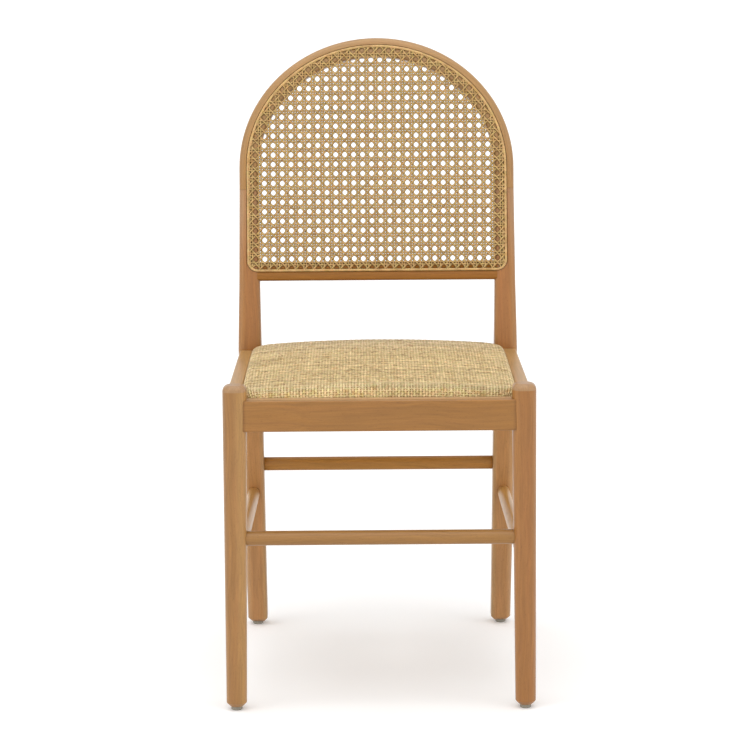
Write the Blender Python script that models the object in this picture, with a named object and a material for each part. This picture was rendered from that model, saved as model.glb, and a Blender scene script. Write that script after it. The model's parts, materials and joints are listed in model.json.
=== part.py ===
# Dining chair: a bent beech frame, an arched back filled with open cane held by a spline,
# and a drop-in seat covered in closely woven cane.
# The chair faces -Y, +X is to the right of someone looking at its front, +Z is up.
# All lengths are in metres. While it is modelled, y = 0 is the front face of the front legs
# and z = 0 is the floor. At the end the chair is centred over the origin.
import math

import bmesh
import bpy
from mathutils import Vector

# Room left between pieces that touch, and how far a cutter runs past what it cuts
FIT_GAP = 0.0003
OVERRUN = 0.002

# Front legs
LEG_ABOVE_RAIL = 0.0205
LEG_AXIS_X_TOP = 0.1971
LEG_AXIS_X_FOOT = 0.2008
LEG_WIDTH_TOP = 0.0334
LEG_WIDTH_FOOT = 0.0283
LEG_CORNER = 0.0125
LEG_DOME = 0.0085
FOOT_CHAMFER = 0.0058

# Rear posts: each is a rear leg and a back upright in one piece, bent at the rails' top
POST_FOOT_Y = 0.4520
POST_BEND_Y = 0.3880
POST_BEND_REACH = 0.0800
POST_AXIS_X_FOOT = 0.1857
POST_AXIS_X_SEAT = 0.1896
POST_AXIS_X_ARCH = 0.1889
POST_WIDTH_FOOT = 0.0297
POST_WIDTH_SEAT = 0.0344
POST_WIDTH_BACK = 0.0310
POST_DEPTH_FOOT = 0.0300
POST_DEPTH_SEAT = 0.0360
POST_CORNER_OUTER = 0.0100
POST_CORNER_INNER = 0.0055
POST_SQUARE_FROM = 0.0450

# Back: heights are measured up its slope from the bend of the posts
BACK_RAKE = math.radians(10.86)
BACK_DEPTH = 0.0260
ARCH_WIDTH = 0.0290
ARCH_JOINT_UP = 0.2355
ARCH_STRAIGHT = 0.0325
ARCH_AXIS_RISE = 0.1773
BACK_EVEN_FROM_UP = 0.0950
LOWER_RAIL_UP = 0.1008
LOWER_RAIL_HEIGHT = 0.0280
LOWER_RAIL_DEPTH = 0.0220
LOWER_RAIL_EDGE = 0.0030

# Groove, spline and cane panel, all in the front face of the back
GROOVE_WIDTH = 0.0052
GROOVE_DEPTH = 0.0050
GROOVE_OUT_OF_AXIS = 0.0016
GROOVE_CORNER = 0.0140
GROOVE_ABOVE_RAIL_AXIS = 0.0010
SPLINE_WIDTH = 0.0035
SPLINE_PROUD = 0.0016
CANE_THICKNESS = 0.0012
CANE_LIP = 0.0008
CANE_GAP_PITCH_X = 0.0199
CANE_GAP_PITCH_UP = 0.0211
CANE_GAP_SIZE = 0.0105
CANE_RIM = 0.0020

# Seat rails
RAIL_TOP_Z = 0.4395
RAIL_HEIGHT = 0.0430
RAIL_EDGE = 0.0018
FRONT_RAIL_THICKNESS = 0.0240
FRONT_RAIL_SETBACK = 0.0025
SIDE_RAIL_THICKNESS = 0.0190
SIDE_RAIL_SETBACK = 0.0028
REAR_RAIL_THICKNESS = 0.0180

# Stretchers
STRETCHER_HEIGHT = 0.0204
STRETCHER_DEPTH = 0.0180
FRONT_STRETCHER_Z = 0.2445
REAR_STRETCHER_Z = 0.2587
SIDE_STRETCHER_Z = 0.2148
SIDE_STRETCHER_INSET = 0.0025

# Drop-in seat: a board on corner blocks, a foam pad, and the cane cover wrapped round both
SEAT_FRONT_Y = 0.0275
SEAT_REAR_Y = 0.3735
SEAT_SIDE_GAP_FRONT = 0.0031
SEAT_SIDE_GAP_REAR = 0.0003
SEAT_CORNER_FRONT = 0.0220
SEAT_CORNER_REAR = 0.0340
SEAT_SUNK = 0.0172
SEAT_BOARD_THICKNESS = 0.0100
SEAT_COVER_THICKNESS = 0.0012
SEAT_COVER_TURN_IN = 0.0140
SEAT_EDGE_ROLL = 0.0085
SEAT_EDGE_HEIGHT = 0.0267
SEAT_CROWN_ACROSS = 0.0080
SEAT_CROWN_ALONG = 0.0040
SEAT_LEAST_RADIUS = 0.0040

# Corner blocks and screws
BLOCK_HEIGHT = 0.0220
BLOCK_LEG = 0.0600
BLOCK_NOTCH = 0.0220
BLOCK_SCREW_ALONG = 0.0430
BLOCK_SCREW_SEAT = 0.0100
SCREW_SHANK_RADIUS = 0.0020
SCREW_HEAD_RADIUS = 0.0038
SCREW_HEAD_HEIGHT = 0.0025
SCREW_BITE_RAIL = 0.0120
SCREW_BITE_BOARD = 0.0070
SEAT_SCREW_IN = 0.0260

# Loose tenons of the seat rails, dowels of the stretchers and of the back
PEG_IN_LEG = 0.0115
PEG_IN_RAIL = 0.0140
PEG_END_ROOM = 0.0010
TENON_THICKNESS = 0.0080
TENON_HEIGHT = 0.0300
TENON_EDGE = 0.0030
STRETCHER_DOWEL_RADIUS = 0.0050
BACK_DOWEL_RADIUS = 0.0040
ARCH_DOWEL_REACH = 0.0160

# Floor glides
GLIDE_RADIUS = 0.0078
GLIDE_HEIGHT = 0.0050
GLIDE_EDGE = 0.0010
GLIDE_NAIL_RADIUS = 0.0015
GLIDE_NAIL_LENGTH = 0.0120

# Fineness of round shapes
CORNER_STEPS = 4
EDGE_STEPS = 2
ROUND_SIDES = 12
DOWEL_SIDES = 8
GLIDE_SIDES = 16
BEND_STEPS = 6
ARCH_STEPS = 28
GROOVE_ARCH_STEPS = 36
GROOVE_CORNER_STEPS = 4
SEAT_CORNER_STEPS = 5
SEAT_EDGE_STEPS = 5
SHARP_ANGLE = math.radians(38)

# Heights of the cover's rings above its edge, as shares of the roll, then shares of the half depth
ROLL_SHARES = (0.0, 0.15, 0.42, 1.0)
INNER_RING_SHARES = (0.16, 0.36, 0.62, 0.92)

# Colours, with roughness and metallic value
BEECH_FINISH = ((0.47, 0.26, 0.12, 1.0), 0.45, 0.0)
CANE_FINISH = ((0.60, 0.42, 0.20, 1.0), 0.55, 0.0)
SPLINE_FINISH = ((0.66, 0.49, 0.27, 1.0), 0.50, 0.0)
SEAT_CANE_FINISH = ((0.68, 0.53, 0.29, 1.0), 0.60, 0.0)
PLY_FINISH = ((0.55, 0.38, 0.20, 1.0), 0.65, 0.0)
PEG_FINISH = ((0.62, 0.45, 0.26, 1.0), 0.60, 0.0)
FOAM_FINISH = ((0.80, 0.74, 0.55, 1.0), 0.90, 0.0)
STEEL_FINISH = ((0.60, 0.60, 0.62, 1.0), 0.35, 1.0)
GLIDE_FINISH = ((0.14, 0.13, 0.12, 1.0), 0.55, 0.0)

# Sizes worked out from the ones above
LEG_TOP_Z = RAIL_TOP_Z + LEG_ABOVE_RAIL
POST_BEND_Z = RAIL_TOP_Z
ARCH_SPRING_UP = ARCH_JOINT_UP + ARCH_STRAIGHT
SEAT_UNDER_Z = RAIL_TOP_Z - SEAT_SUNK
SEAT_CORNER_Z = SEAT_UNDER_Z + SEAT_EDGE_HEIGHT
BACK_HALF = BACK_DEPTH / 2
SPLAY = math.atan2(POST_FOOT_Y - POST_BEND_Y, POST_BEND_Z)
BEND_RADIUS = POST_BEND_REACH / math.tan((SPLAY + BACK_RAKE) / 2)
RAIL_MID_Z = RAIL_TOP_Z - RAIL_HEIGHT / 2
LEG_AXIS_Y = LEG_WIDTH_TOP / 2
WOOD_FOOT_Z = GLIDE_HEIGHT + FIT_GAP
ARCH_AXIS_HALF = POST_AXIS_X_ARCH
GROOVE_HALF = ARCH_AXIS_HALF + GROOVE_OUT_OF_AXIS
GROOVE_RISE = ARCH_AXIS_RISE + GROOVE_OUT_OF_AXIS
LOWER_RAIL_AXIS_UP = LOWER_RAIL_UP + LOWER_RAIL_HEIGHT / 2
GROOVE_LOW_UP = LOWER_RAIL_AXIS_UP + GROOVE_ABOVE_RAIL_AXIS
OPENING_HALF = ARCH_AXIS_HALF - ARCH_WIDTH / 2
OPENING_RISE = ARCH_AXIS_RISE - ARCH_WIDTH / 2
OPENING_LOW_UP = LOWER_RAIL_UP + LOWER_RAIL_HEIGHT
BOARD_UNDER_Z = SEAT_UNDER_Z + SEAT_COVER_THICKNESS + FIT_GAP
BOARD_TOP_Z = BOARD_UNDER_Z + SEAT_BOARD_THICKNESS
BLOCK_TOP_Z = SEAT_UNDER_Z - FIT_GAP
BLOCK_UNDER_Z = BLOCK_TOP_Z - BLOCK_HEIGHT
BLOCK_MID_Z = BLOCK_TOP_Z - BLOCK_HEIGHT / 2
BLOCK_SCREW_POCKET = BLOCK_LEG - BLOCK_SCREW_ALONG + OVERRUN
SIDES = {"left": -1, "right": 1}
CORNERS = {"front_left": (-1, -1), "front_right": (1, -1), "rear_left": (-1, 1), "rear_right": (1, 1)}


def clear_scene():
    for thing in list(bpy.data.objects):
        bpy.data.objects.remove(thing, do_unlink=True)


def finish(name, values):
    colour, roughness, metallic = values
    material = bpy.data.materials.new(name)
    material.use_nodes = True
    shader = material.node_tree.nodes["Principled BSDF"]
    shader.inputs["Base Color"].default_value = colour
    shader.inputs["Roughness"].default_value = roughness
    shader.inputs["Metallic"].default_value = metallic
    material.diffuse_color = colour
    return material


def mesh_object(name, verts, faces, material=None, smooth=True):
    """One object from points and faces, with its faces turned outwards."""
    mesh = bpy.data.meshes.new(name)
    mesh.from_pydata([tuple(v) for v in verts], [], faces)
    work = bmesh.new()
    work.from_mesh(mesh)
    bmesh.ops.recalc_face_normals(work, faces=work.faces)
    work.to_mesh(mesh)
    work.free()
    if smooth:
        mesh.shade_smooth()
        mesh.set_sharp_from_angle(angle=SHARP_ANGLE)
    thing = bpy.data.objects.new(name, mesh)
    bpy.context.scene.collection.objects.link(thing)
    if material is not None:
        mesh.materials.append(material)
    return thing


def loft(rings, closed=False):
    """Points and faces of a skin over rings of equal length, capped unless the rings close."""
    verts = [point for ring in rings for point in ring]
    count = len(rings[0])
    faces = []
    spans = len(rings) if closed else len(rings) - 1
    for k in range(spans):
        low = k * count
        high = ((k + 1) % len(rings)) * count
        for i in range(count):
            j = (i + 1) % count
            faces.append((low + i, low + j, high + j, high + i))
    if not closed:
        faces.append(tuple(range(count)))
        faces.append(tuple(range(len(verts) - count, len(verts))))
    return verts, faces


def join_shapes(shapes):
    """Several closed skins as one list of points and faces."""
    verts = []
    faces = []
    for shape_verts, shape_faces in shapes:
        start = len(verts)
        verts.extend(shape_verts)
        faces.extend(tuple(start + i for i in face) for face in shape_faces)
    return verts, faces


def rounded_outline(half_a, half_b, radii, steps=CORNER_STEPS):
    """Corner-rounded rectangle. radii run from the +a +b corner counterclockwise."""
    signs = ((1, 1), (-1, 1), (-1, -1), (1, -1))
    points = []
    for quarter, (sign_a, sign_b) in enumerate(signs):
        radius = radii[quarter]
        centre_a = sign_a * (half_a - radius)
        centre_b = sign_b * (half_b - radius)
        for k in range(steps + 1):
            angle = math.pi / 2 * (quarter + k / steps)
            points.append((centre_a + radius * math.cos(angle), centre_b + radius * math.sin(angle)))
    return points


def share_of(low, high, share):
    return low + (high - low) * share


def make_cutter(name, shapes):
    verts, faces = join_shapes(shapes)
    cutter = mesh_object(name, verts, faces, smooth=False)
    cutter.hide_render = True
    cutter.display_type = "WIRE"
    return cutter


def cut(thing, *cutters):
    for cutter in cutters:
        step = thing.modifiers.new("cut_by_" + cutter.name, "BOOLEAN")
        step.operation = "DIFFERENCE"
        step.solver = "EXACT"
        step.object = cutter


def turned(base, along, profile, sides):
    """A round body on an axis that starts at base, from (distance, radius) points, both ends capped."""
    base = Vector(base)
    across = Vector(along).to_track_quat("Z", "Y").to_matrix()
    rings = []
    for distance, radius in profile:
        ring = []
        for k in range(sides):
            angle = 2 * math.pi * k / sides
            point = Vector((radius * math.cos(angle), radius * math.sin(angle), distance))
            ring.append(base + across @ point)
        rings.append(ring)
    return loft(rings)


# Front legs


def leg_axis_x(z):
    return share_of(LEG_AXIS_X_FOOT, LEG_AXIS_X_TOP, z / LEG_TOP_Z)


def leg_half(z):
    return share_of(LEG_WIDTH_FOOT, LEG_WIDTH_TOP, z / LEG_TOP_Z) / 2


def leg_ring(side, z, inset, grow):
    half = leg_half(z) - inset + grow
    corner = min(max(LEG_CORNER - inset, LEG_DOME - inset / 2) + grow, half)
    outline = rounded_outline(half, half, (corner,) * 4)
    return [Vector((side * leg_axis_x(z) + a, LEG_AXIS_Y + b, z)) for a, b in outline]


def leg_shape(side, grow=0.0):
    rings = [leg_ring(side, WOOD_FOOT_Z, FOOT_CHAMFER, grow)]
    rings.append(leg_ring(side, WOOD_FOOT_Z + FOOT_CHAMFER, 0.0, grow))
    rings.append(leg_ring(side, RAIL_MID_Z, 0.0, grow))
    for k in range(CORNER_STEPS + 1):
        angle = math.pi / 2 * k / CORNER_STEPS
        z = LEG_TOP_Z - LEG_DOME + LEG_DOME * math.sin(angle)
        rings.append(leg_ring(side, z, LEG_DOME * (1 - math.cos(angle)), grow))
    return loft(rings)


# Rear posts


def post_axis_x(up):
    if up < 0:
        return share_of(POST_AXIS_X_SEAT, POST_AXIS_X_FOOT, -up / POST_BEND_Z)
    return share_of(POST_AXIS_X_SEAT, POST_AXIS_X_ARCH, up / ARCH_JOINT_UP)


def post_width(up):
    if up < 0:
        return share_of(POST_WIDTH_SEAT, POST_WIDTH_FOOT, -up / POST_BEND_Z)
    if up < BACK_EVEN_FROM_UP:
        return share_of(POST_WIDTH_SEAT, POST_WIDTH_BACK, up / BACK_EVEN_FROM_UP)
    share = (up - BACK_EVEN_FROM_UP) / (ARCH_JOINT_UP - BACK_EVEN_FROM_UP)
    return share_of(POST_WIDTH_BACK, ARCH_WIDTH, share)


def post_depth(up):
    if up < 0:
        return share_of(POST_DEPTH_SEAT, POST_DEPTH_FOOT, -up / POST_BEND_Z)
    return share_of(POST_DEPTH_SEAT, BACK_DEPTH, min(up / BACK_EVEN_FROM_UP, 1))


def post_stations():
    """Along the post: height past the bend, centre (y, z) and lean of the section."""
    stations = []
    length = POST_BEND_Z / math.cos(SPLAY)
    foot_up = -length + WOOD_FOOT_Z / math.cos(SPLAY)
    for up in (foot_up, foot_up + FOOT_CHAMFER):
        stations.append((up, POST_BEND_Y - up * math.sin(SPLAY), POST_BEND_Z + up * math.cos(SPLAY), 0.0))
    low = -POST_BEND_REACH
    mid = foot_up + POST_SQUARE_FROM
    stations.append((mid, POST_BEND_Y - mid * math.sin(SPLAY), POST_BEND_Z + mid * math.cos(SPLAY), -SPLAY))
    start_y = POST_BEND_Y + POST_BEND_REACH * math.sin(SPLAY)
    start_z = POST_BEND_Z - POST_BEND_REACH * math.cos(SPLAY)
    centre_y = start_y + BEND_RADIUS * math.cos(SPLAY)
    centre_z = start_z + BEND_RADIUS * math.sin(SPLAY)
    for k in range(BEND_STEPS + 1):
        share = k / BEND_STEPS
        lean = share_of(-SPLAY, BACK_RAKE, share)
        y = centre_y - BEND_RADIUS * math.cos(lean)
        z = centre_z + BEND_RADIUS * math.sin(lean)
        stations.append((share_of(low, POST_BEND_REACH, share), y, z, lean))
    for up in (BACK_EVEN_FROM_UP, ARCH_JOINT_UP):
        point = on_back(0.0, up, 0.0)
        stations.append((up, point.y, point.z, BACK_RAKE))
    return stations


def post_ring(side, station, inset, grow):
    up, y, z, lean = station
    half_width = post_width(up) / 2 - inset + grow
    half_depth = post_depth(up) / 2 - inset + grow
    outer = POST_CORNER_OUTER - inset / 2 + grow
    inner = POST_CORNER_INNER - inset / 2 + grow
    radii = (outer, inner, inner, outer) if side > 0 else (inner, outer, outer, inner)
    centre = Vector((side * post_axis_x(up), y, z))
    back = Vector((0.0, math.cos(lean), -math.sin(lean)))
    outline = rounded_outline(half_width, half_depth, radii)
    return [centre + Vector((a, 0.0, 0.0)) + back * b for a, b in outline]


def post_shape(side, grow=0.0):
    stations = post_stations()
    rings = [post_ring(side, stations[0], FOOT_CHAMFER, grow)]
    rings.extend(post_ring(side, station, 0.0, grow) for station in stations[1:])
    return loft(rings)


# The plane of the back


def on_back(x, up, out):
    """A point of the back: across, up its slope from the bend, and out of its middle to the front."""
    y = POST_BEND_Y + up * math.sin(BACK_RAKE) - out * math.cos(BACK_RAKE)
    z = POST_BEND_Z + up * math.cos(BACK_RAKE) + out * math.sin(BACK_RAKE)
    return Vector((x, y, z))


def arch_point(half, rise, angle, offset):
    """A point of a half ellipse over the spring line, moved out along its normal."""
    x = half * math.cos(angle)
    up = rise * math.sin(angle)
    normal = Vector((x / half ** 2, up / rise ** 2)).normalized()
    return x + normal.x * offset, ARCH_SPRING_UP + up + normal.y * offset


def panel_outline(offset):
    """Closed outline along the groove: the flat bottom, two corners, the sides and the arch."""
    radius = GROOVE_CORNER + offset
    corner_x = GROOVE_HALF - GROOVE_CORNER
    corner_up = GROOVE_LOW_UP + GROOVE_CORNER
    points = []
    for k in range(GROOVE_CORNER_STEPS + 1):
        angle = math.pi / 2 * (k / GROOVE_CORNER_STEPS - 1)
        points.append((corner_x + radius * math.cos(angle), corner_up + radius * math.sin(angle)))
    for k in range(GROOVE_ARCH_STEPS + 1):
        points.append(arch_point(GROOVE_HALF, GROOVE_RISE, math.pi * k / GROOVE_ARCH_STEPS, offset))
    for k in range(GROOVE_CORNER_STEPS + 1):
        angle = math.pi / 2 * (2 + k / GROOVE_CORNER_STEPS)
        points.append((-corner_x + radius * math.cos(angle), corner_up + radius * math.sin(angle)))
    return points


def panel_ring(offset, out):
    return [on_back(x, up, out) for x, up in panel_outline(offset)]


def swept_round_panel(section):
    """A closed bar that follows the groove; section is (offset, out) points in order."""
    rings = [panel_ring(offset, out) for offset, out in section]
    return loft(rings, closed=True)


def arch_shape():
    radii = (POST_CORNER_OUTER, POST_CORNER_INNER, POST_CORNER_INNER, POST_CORNER_OUTER)
    outline = rounded_outline(ARCH_WIDTH / 2, BACK_HALF, radii)
    base = ARCH_JOINT_UP + FIT_GAP
    rings = [[on_back(ARCH_AXIS_HALF + a, base, -b) for a, b in outline]]
    for k in range(ARCH_STEPS + 1):
        angle = math.pi * k / ARCH_STEPS
        ring = []
        for a, b in outline:
            x, up = arch_point(ARCH_AXIS_HALF, ARCH_AXIS_RISE, angle, a)
            ring.append(on_back(x, up, -b))
        rings.append(ring)
    rings.append([on_back(-ARCH_AXIS_HALF - a, base, -b) for a, b in outline])
    return loft(rings)


def lower_rail_shape():
    edge = (LOWER_RAIL_EDGE,) * 4
    outline = rounded_outline(LOWER_RAIL_HEIGHT / 2, LOWER_RAIL_DEPTH / 2, edge, EDGE_STEPS)
    out_mid = BACK_HALF - LOWER_RAIL_DEPTH / 2
    rings = []
    for x in (-POST_AXIS_X_ARCH, POST_AXIS_X_ARCH):
        rings.append([on_back(x, LOWER_RAIL_AXIS_UP + a, out_mid - b) for a, b in outline])
    return loft(rings)


def groove_section():
    half = GROOVE_WIDTH / 2
    floor = BACK_HALF - GROOVE_DEPTH
    mouth = BACK_HALF + OVERRUN
    return ((-half, floor), (half, floor), (half, mouth), (-half, mouth))


def spline_section():
    """A cord with a rounded top, beside the turned-down edge of the cane in the groove."""
    outer = GROOVE_WIDTH / 2 - FIT_GAP
    inner = outer - SPLINE_WIDTH
    floor = BACK_HALF - GROOVE_DEPTH + FIT_GAP
    shoulder = BACK_HALF + SPLINE_PROUD / 2
    crown = BACK_HALF + SPLINE_PROUD
    rounding = SPLINE_WIDTH / 4
    return (
        (inner, floor), (outer, floor), (outer, shoulder),
        (outer - rounding, crown), (inner + rounding, crown), (inner, shoulder),
    )


def cane_shape():
    """The panel as a sheet on the face of the back, its edge turned down into the groove."""
    edge_inner = -GROOVE_WIDTH / 2 + FIT_GAP
    edge_outer = edge_inner + CANE_LIP
    under = BACK_HALF + FIT_GAP
    top = under + CANE_THICKNESS
    lip_end = BACK_HALF - GROOVE_DEPTH + FIT_GAP
    rings = [
        panel_ring(edge_outer, top), panel_ring(edge_outer, lip_end),
        panel_ring(edge_inner, lip_end), panel_ring(edge_inner, under),
    ]
    return loft(rings)


def inside_opening(x, up, margin):
    """True where a point of the back lies in the see-through opening, clear of its edge."""
    half = OPENING_HALF - margin
    if up < OPENING_LOW_UP + margin or abs(x) > half:
        return False
    if up < ARCH_SPRING_UP:
        return True
    return (x / half) ** 2 + ((up - ARCH_SPRING_UP) / (OPENING_RISE - margin)) ** 2 < 1


def cane_gap_places():
    """Middles of the gaps: a square grid, kept where a whole gap lies over the opening."""
    columns = int(OPENING_HALF / CANE_GAP_PITCH_X) + 1
    rows = int((ARCH_SPRING_UP + OPENING_RISE - OPENING_LOW_UP) / CANE_GAP_PITCH_UP) + 1
    half = CANE_GAP_SIZE / 2
    first_up = OPENING_LOW_UP + CANE_RIM + half
    places = []
    for row in range(rows):
        up = first_up + row * CANE_GAP_PITCH_UP
        for column in range(-columns, columns + 1):
            x = column * CANE_GAP_PITCH_X
            corners = [(x + a, up + b) for a in (-half, half) for b in (-half, half)]
            if all(inside_opening(px, pu, CANE_RIM) for px, pu in corners):
                places.append((x, up))
    return places


def cane_gap_shapes():
    half = CANE_GAP_SIZE / 2
    low = BACK_HALF - OVERRUN
    high = BACK_HALF + FIT_GAP + CANE_THICKNESS + OVERRUN
    shapes = []
    for x, up in cane_gap_places():
        corners = ((x - half, up - half), (x + half, up - half), (x + half, up + half), (x - half, up + half))
        shapes.append(loft([[on_back(px, pu, out) for px, pu in corners] for out in (low, high)]))
    return shapes


# Seat rails and stretchers


def side_rail_x(y):
    """Middle of the side rail across the chair, at a place along its length."""
    front = leg_axis_x(RAIL_MID_Z) + leg_half(RAIL_MID_Z) - SIDE_RAIL_SETBACK
    rear = POST_AXIS_X_SEAT + POST_WIDTH_SEAT / 2 - SIDE_RAIL_SETBACK
    share = (y - LEG_AXIS_Y) / (POST_BEND_Y - LEG_AXIS_Y)
    return share_of(front, rear, share) - SIDE_RAIL_THICKNESS / 2


def rail_outline(thickness):
    return rounded_outline(thickness / 2, RAIL_HEIGHT / 2, (RAIL_EDGE,) * 4, EDGE_STEPS)


def cross_rail_shape(y_mid, thickness, reach):
    rings = []
    for x in (-reach, reach):
        rings.append([Vector((x, y_mid + a, RAIL_MID_Z + b)) for a, b in rail_outline(thickness)])
    return loft(rings)


def side_rail_shape(side):
    rings = []
    for y in (LEG_AXIS_Y, POST_BEND_Y):
        middle = side * side_rail_x(y)
        rings.append([Vector((middle + a, y, RAIL_MID_Z + b)) for a, b in rail_outline(SIDE_RAIL_THICKNESS)])
    return loft(rings)


def post_axis_y(z):
    """Middle of the straight lower part of a rear post, front to back, at a height."""
    return share_of(POST_FOOT_Y, POST_BEND_Y, z / POST_BEND_Z)


def post_axis_x_at(z):
    return share_of(POST_AXIS_X_FOOT, POST_AXIS_X_SEAT, z / POST_BEND_Z)


def oval(centre, side_way, up_way):
    ring = []
    for k in range(ROUND_SIDES):
        angle = 2 * math.pi * k / ROUND_SIDES
        across = side_way * (STRETCHER_DEPTH / 2 * math.cos(angle))
        rise = up_way * (STRETCHER_HEIGHT / 2 * math.sin(angle))
        ring.append(centre + across + rise)
    return ring


def stretcher_shape(start, end):
    along = (Vector(end) - Vector(start)).normalized()
    up_way = Vector((0.0, 0.0, 1.0))
    side_way = along.cross(up_way).normalized()
    return loft([oval(Vector(start), side_way, up_way), oval(Vector(end), side_way, up_way)])


def front_stretcher_ends():
    x = leg_axis_x(FRONT_STRETCHER_Z)
    return (-x, LEG_AXIS_Y, FRONT_STRETCHER_Z), (x, LEG_AXIS_Y, FRONT_STRETCHER_Z)


def rear_stretcher_ends():
    x = post_axis_x_at(REAR_STRETCHER_Z)
    y = post_axis_y(REAR_STRETCHER_Z)
    return (-x, y, REAR_STRETCHER_Z), (x, y, REAR_STRETCHER_Z)


def side_stretcher_ends(side):
    front_x = leg_axis_x(SIDE_STRETCHER_Z) - SIDE_STRETCHER_INSET
    rear_x = post_axis_x_at(SIDE_STRETCHER_Z)
    rear_y = post_axis_y(SIDE_STRETCHER_Z)
    return (side * front_x, LEG_AXIS_Y, SIDE_STRETCHER_Z), (side * rear_x, rear_y, SIDE_STRETCHER_Z)


# Drop-in seat


def seat_half_width(y):
    """Half the seat's width: up to the inner face of the side rail, less the gap beside the seat."""
    share = (y - SEAT_FRONT_Y) / (SEAT_REAR_Y - SEAT_FRONT_Y)
    gap = share_of(SEAT_SIDE_GAP_FRONT, SEAT_SIDE_GAP_REAR, share)
    return side_rail_x(y) - SIDE_RAIL_THICKNESS / 2 - gap


def seat_outline(inset):
    """Rounded trapezium, drawn in on all sides by inset, with points along its edges too."""
    front = SEAT_FRONT_Y + inset
    rear = SEAT_REAR_Y - inset
    limit = (rear - front) / 2
    corners = (
        (seat_half_width(rear) - inset, rear, 1, 1, SEAT_CORNER_REAR),
        (seat_half_width(rear) - inset, rear, -1, 1, SEAT_CORNER_REAR),
        (seat_half_width(front) - inset, front, -1, -1, SEAT_CORNER_FRONT),
        (seat_half_width(front) - inset, front, 1, -1, SEAT_CORNER_FRONT),
    )
    arcs = []
    for quarter, (half, y, sign_x, sign_y, corner) in enumerate(corners):
        radius = min(max(corner - inset, SEAT_LEAST_RADIUS), limit)
        arc = []
        for k in range(SEAT_CORNER_STEPS + 1):
            angle = math.pi / 2 * (quarter + k / SEAT_CORNER_STEPS)
            x = sign_x * (half - radius) + radius * math.cos(angle)
            arc.append((x, y - sign_y * radius + radius * math.sin(angle)))
        arcs.append(arc)
    points = []
    for index, arc in enumerate(arcs):
        points.extend(arc)
        follow = arcs[(index + 1) % len(arcs)][0]
        for k in range(1, SEAT_EDGE_STEPS + 1):
            share = k / (SEAT_EDGE_STEPS + 1)
            points.append((share_of(arc[-1][0], follow[0], share), share_of(arc[-1][1], follow[1], share)))
    return points


def seat_top_z(x, y):
    """Height of the crowned top: lowest at the corners, highest in the middle."""
    middle = (SEAT_FRONT_Y + SEAT_REAR_Y) / 2
    across = x / seat_half_width(y)
    along = (y - middle) / (SEAT_REAR_Y - middle)
    return SEAT_CORNER_Z + SEAT_CROWN_ACROSS * (1 - across ** 2) + SEAT_CROWN_ALONG * (1 - along ** 2)


def seat_ring_flat(inset, z):
    return [Vector((x, y, z)) for x, y in seat_outline(inset)]


def seat_ring_crowned(inset, shell):
    """A ring of the rolled and crowned top; shell is how far it lies under the cover's outside."""
    roll = SEAT_EDGE_ROLL - shell
    depth = inset - shell
    ring = []
    for x, y in seat_outline(inset):
        drop = 0.0
        if depth < roll:
            drop = roll - math.sqrt(roll ** 2 - (roll - depth) ** 2)
        ring.append(Vector((x, y, seat_top_z(x, y) - shell - drop)))
    return ring


def seat_top_rings(shell):
    """From the side of the seat up over the roll and in to its middle."""
    roll = SEAT_EDGE_ROLL - shell
    half_depth = (SEAT_REAR_Y - SEAT_FRONT_Y) / 2
    rings = [seat_ring_crowned(shell + roll * share, shell) for share in ROLL_SHARES]
    rings.extend(seat_ring_crowned(half_depth * share, shell) for share in INNER_RING_SHARES)
    return rings


def seat_cover_shape():
    wall = SEAT_COVER_THICKNESS
    rings = list(reversed(seat_top_rings(0.0)))
    rings.append(seat_ring_flat(0.0, SEAT_UNDER_Z))
    rings.append(seat_ring_flat(SEAT_COVER_TURN_IN, SEAT_UNDER_Z))
    rings.append(seat_ring_flat(SEAT_COVER_TURN_IN, SEAT_UNDER_Z + wall))
    rings.append(seat_ring_flat(wall, SEAT_UNDER_Z + wall))
    rings.extend(seat_top_rings(wall))
    return loft(rings)


def seat_pad_shape():
    inside = SEAT_COVER_THICKNESS + FIT_GAP
    rings = [seat_ring_flat(inside, BOARD_TOP_Z + FIT_GAP)]
    rings.extend(seat_top_rings(inside))
    return loft(rings)


def seat_board_shape():
    inside = SEAT_COVER_THICKNESS + FIT_GAP
    return loft([seat_ring_flat(inside, BOARD_UNDER_Z), seat_ring_flat(inside, BOARD_TOP_Z)])


# Corner blocks


def rail_faces():
    """Inner faces of the front and the rear rail, front to back."""
    front = FRONT_RAIL_SETBACK + FRONT_RAIL_THICKNESS + FIT_GAP
    rear = POST_BEND_Y - REAR_RAIL_THICKNESS / 2 - FIT_GAP
    return front, rear


def block_point(side, end, along_x, along_y, z):
    """A point of a corner block, measured in from the side rail and from the cross rail."""
    front, rear = rail_faces()
    y = front + along_y if end < 0 else rear - along_y
    x = side_rail_x(y) - SIDE_RAIL_THICKNESS / 2 - FIT_GAP - along_x
    return Vector((side * x, y, z))


def block_shape(side, end):
    plan = ((BLOCK_NOTCH, 0.0), (BLOCK_LEG, 0.0), (0.0, BLOCK_LEG), (0.0, BLOCK_NOTCH))
    rings = []
    for z in (BLOCK_UNDER_Z, BLOCK_TOP_Z):
        rings.append([block_point(side, end, a, b, z) for a, b in plan])
    return loft(rings)


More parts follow.
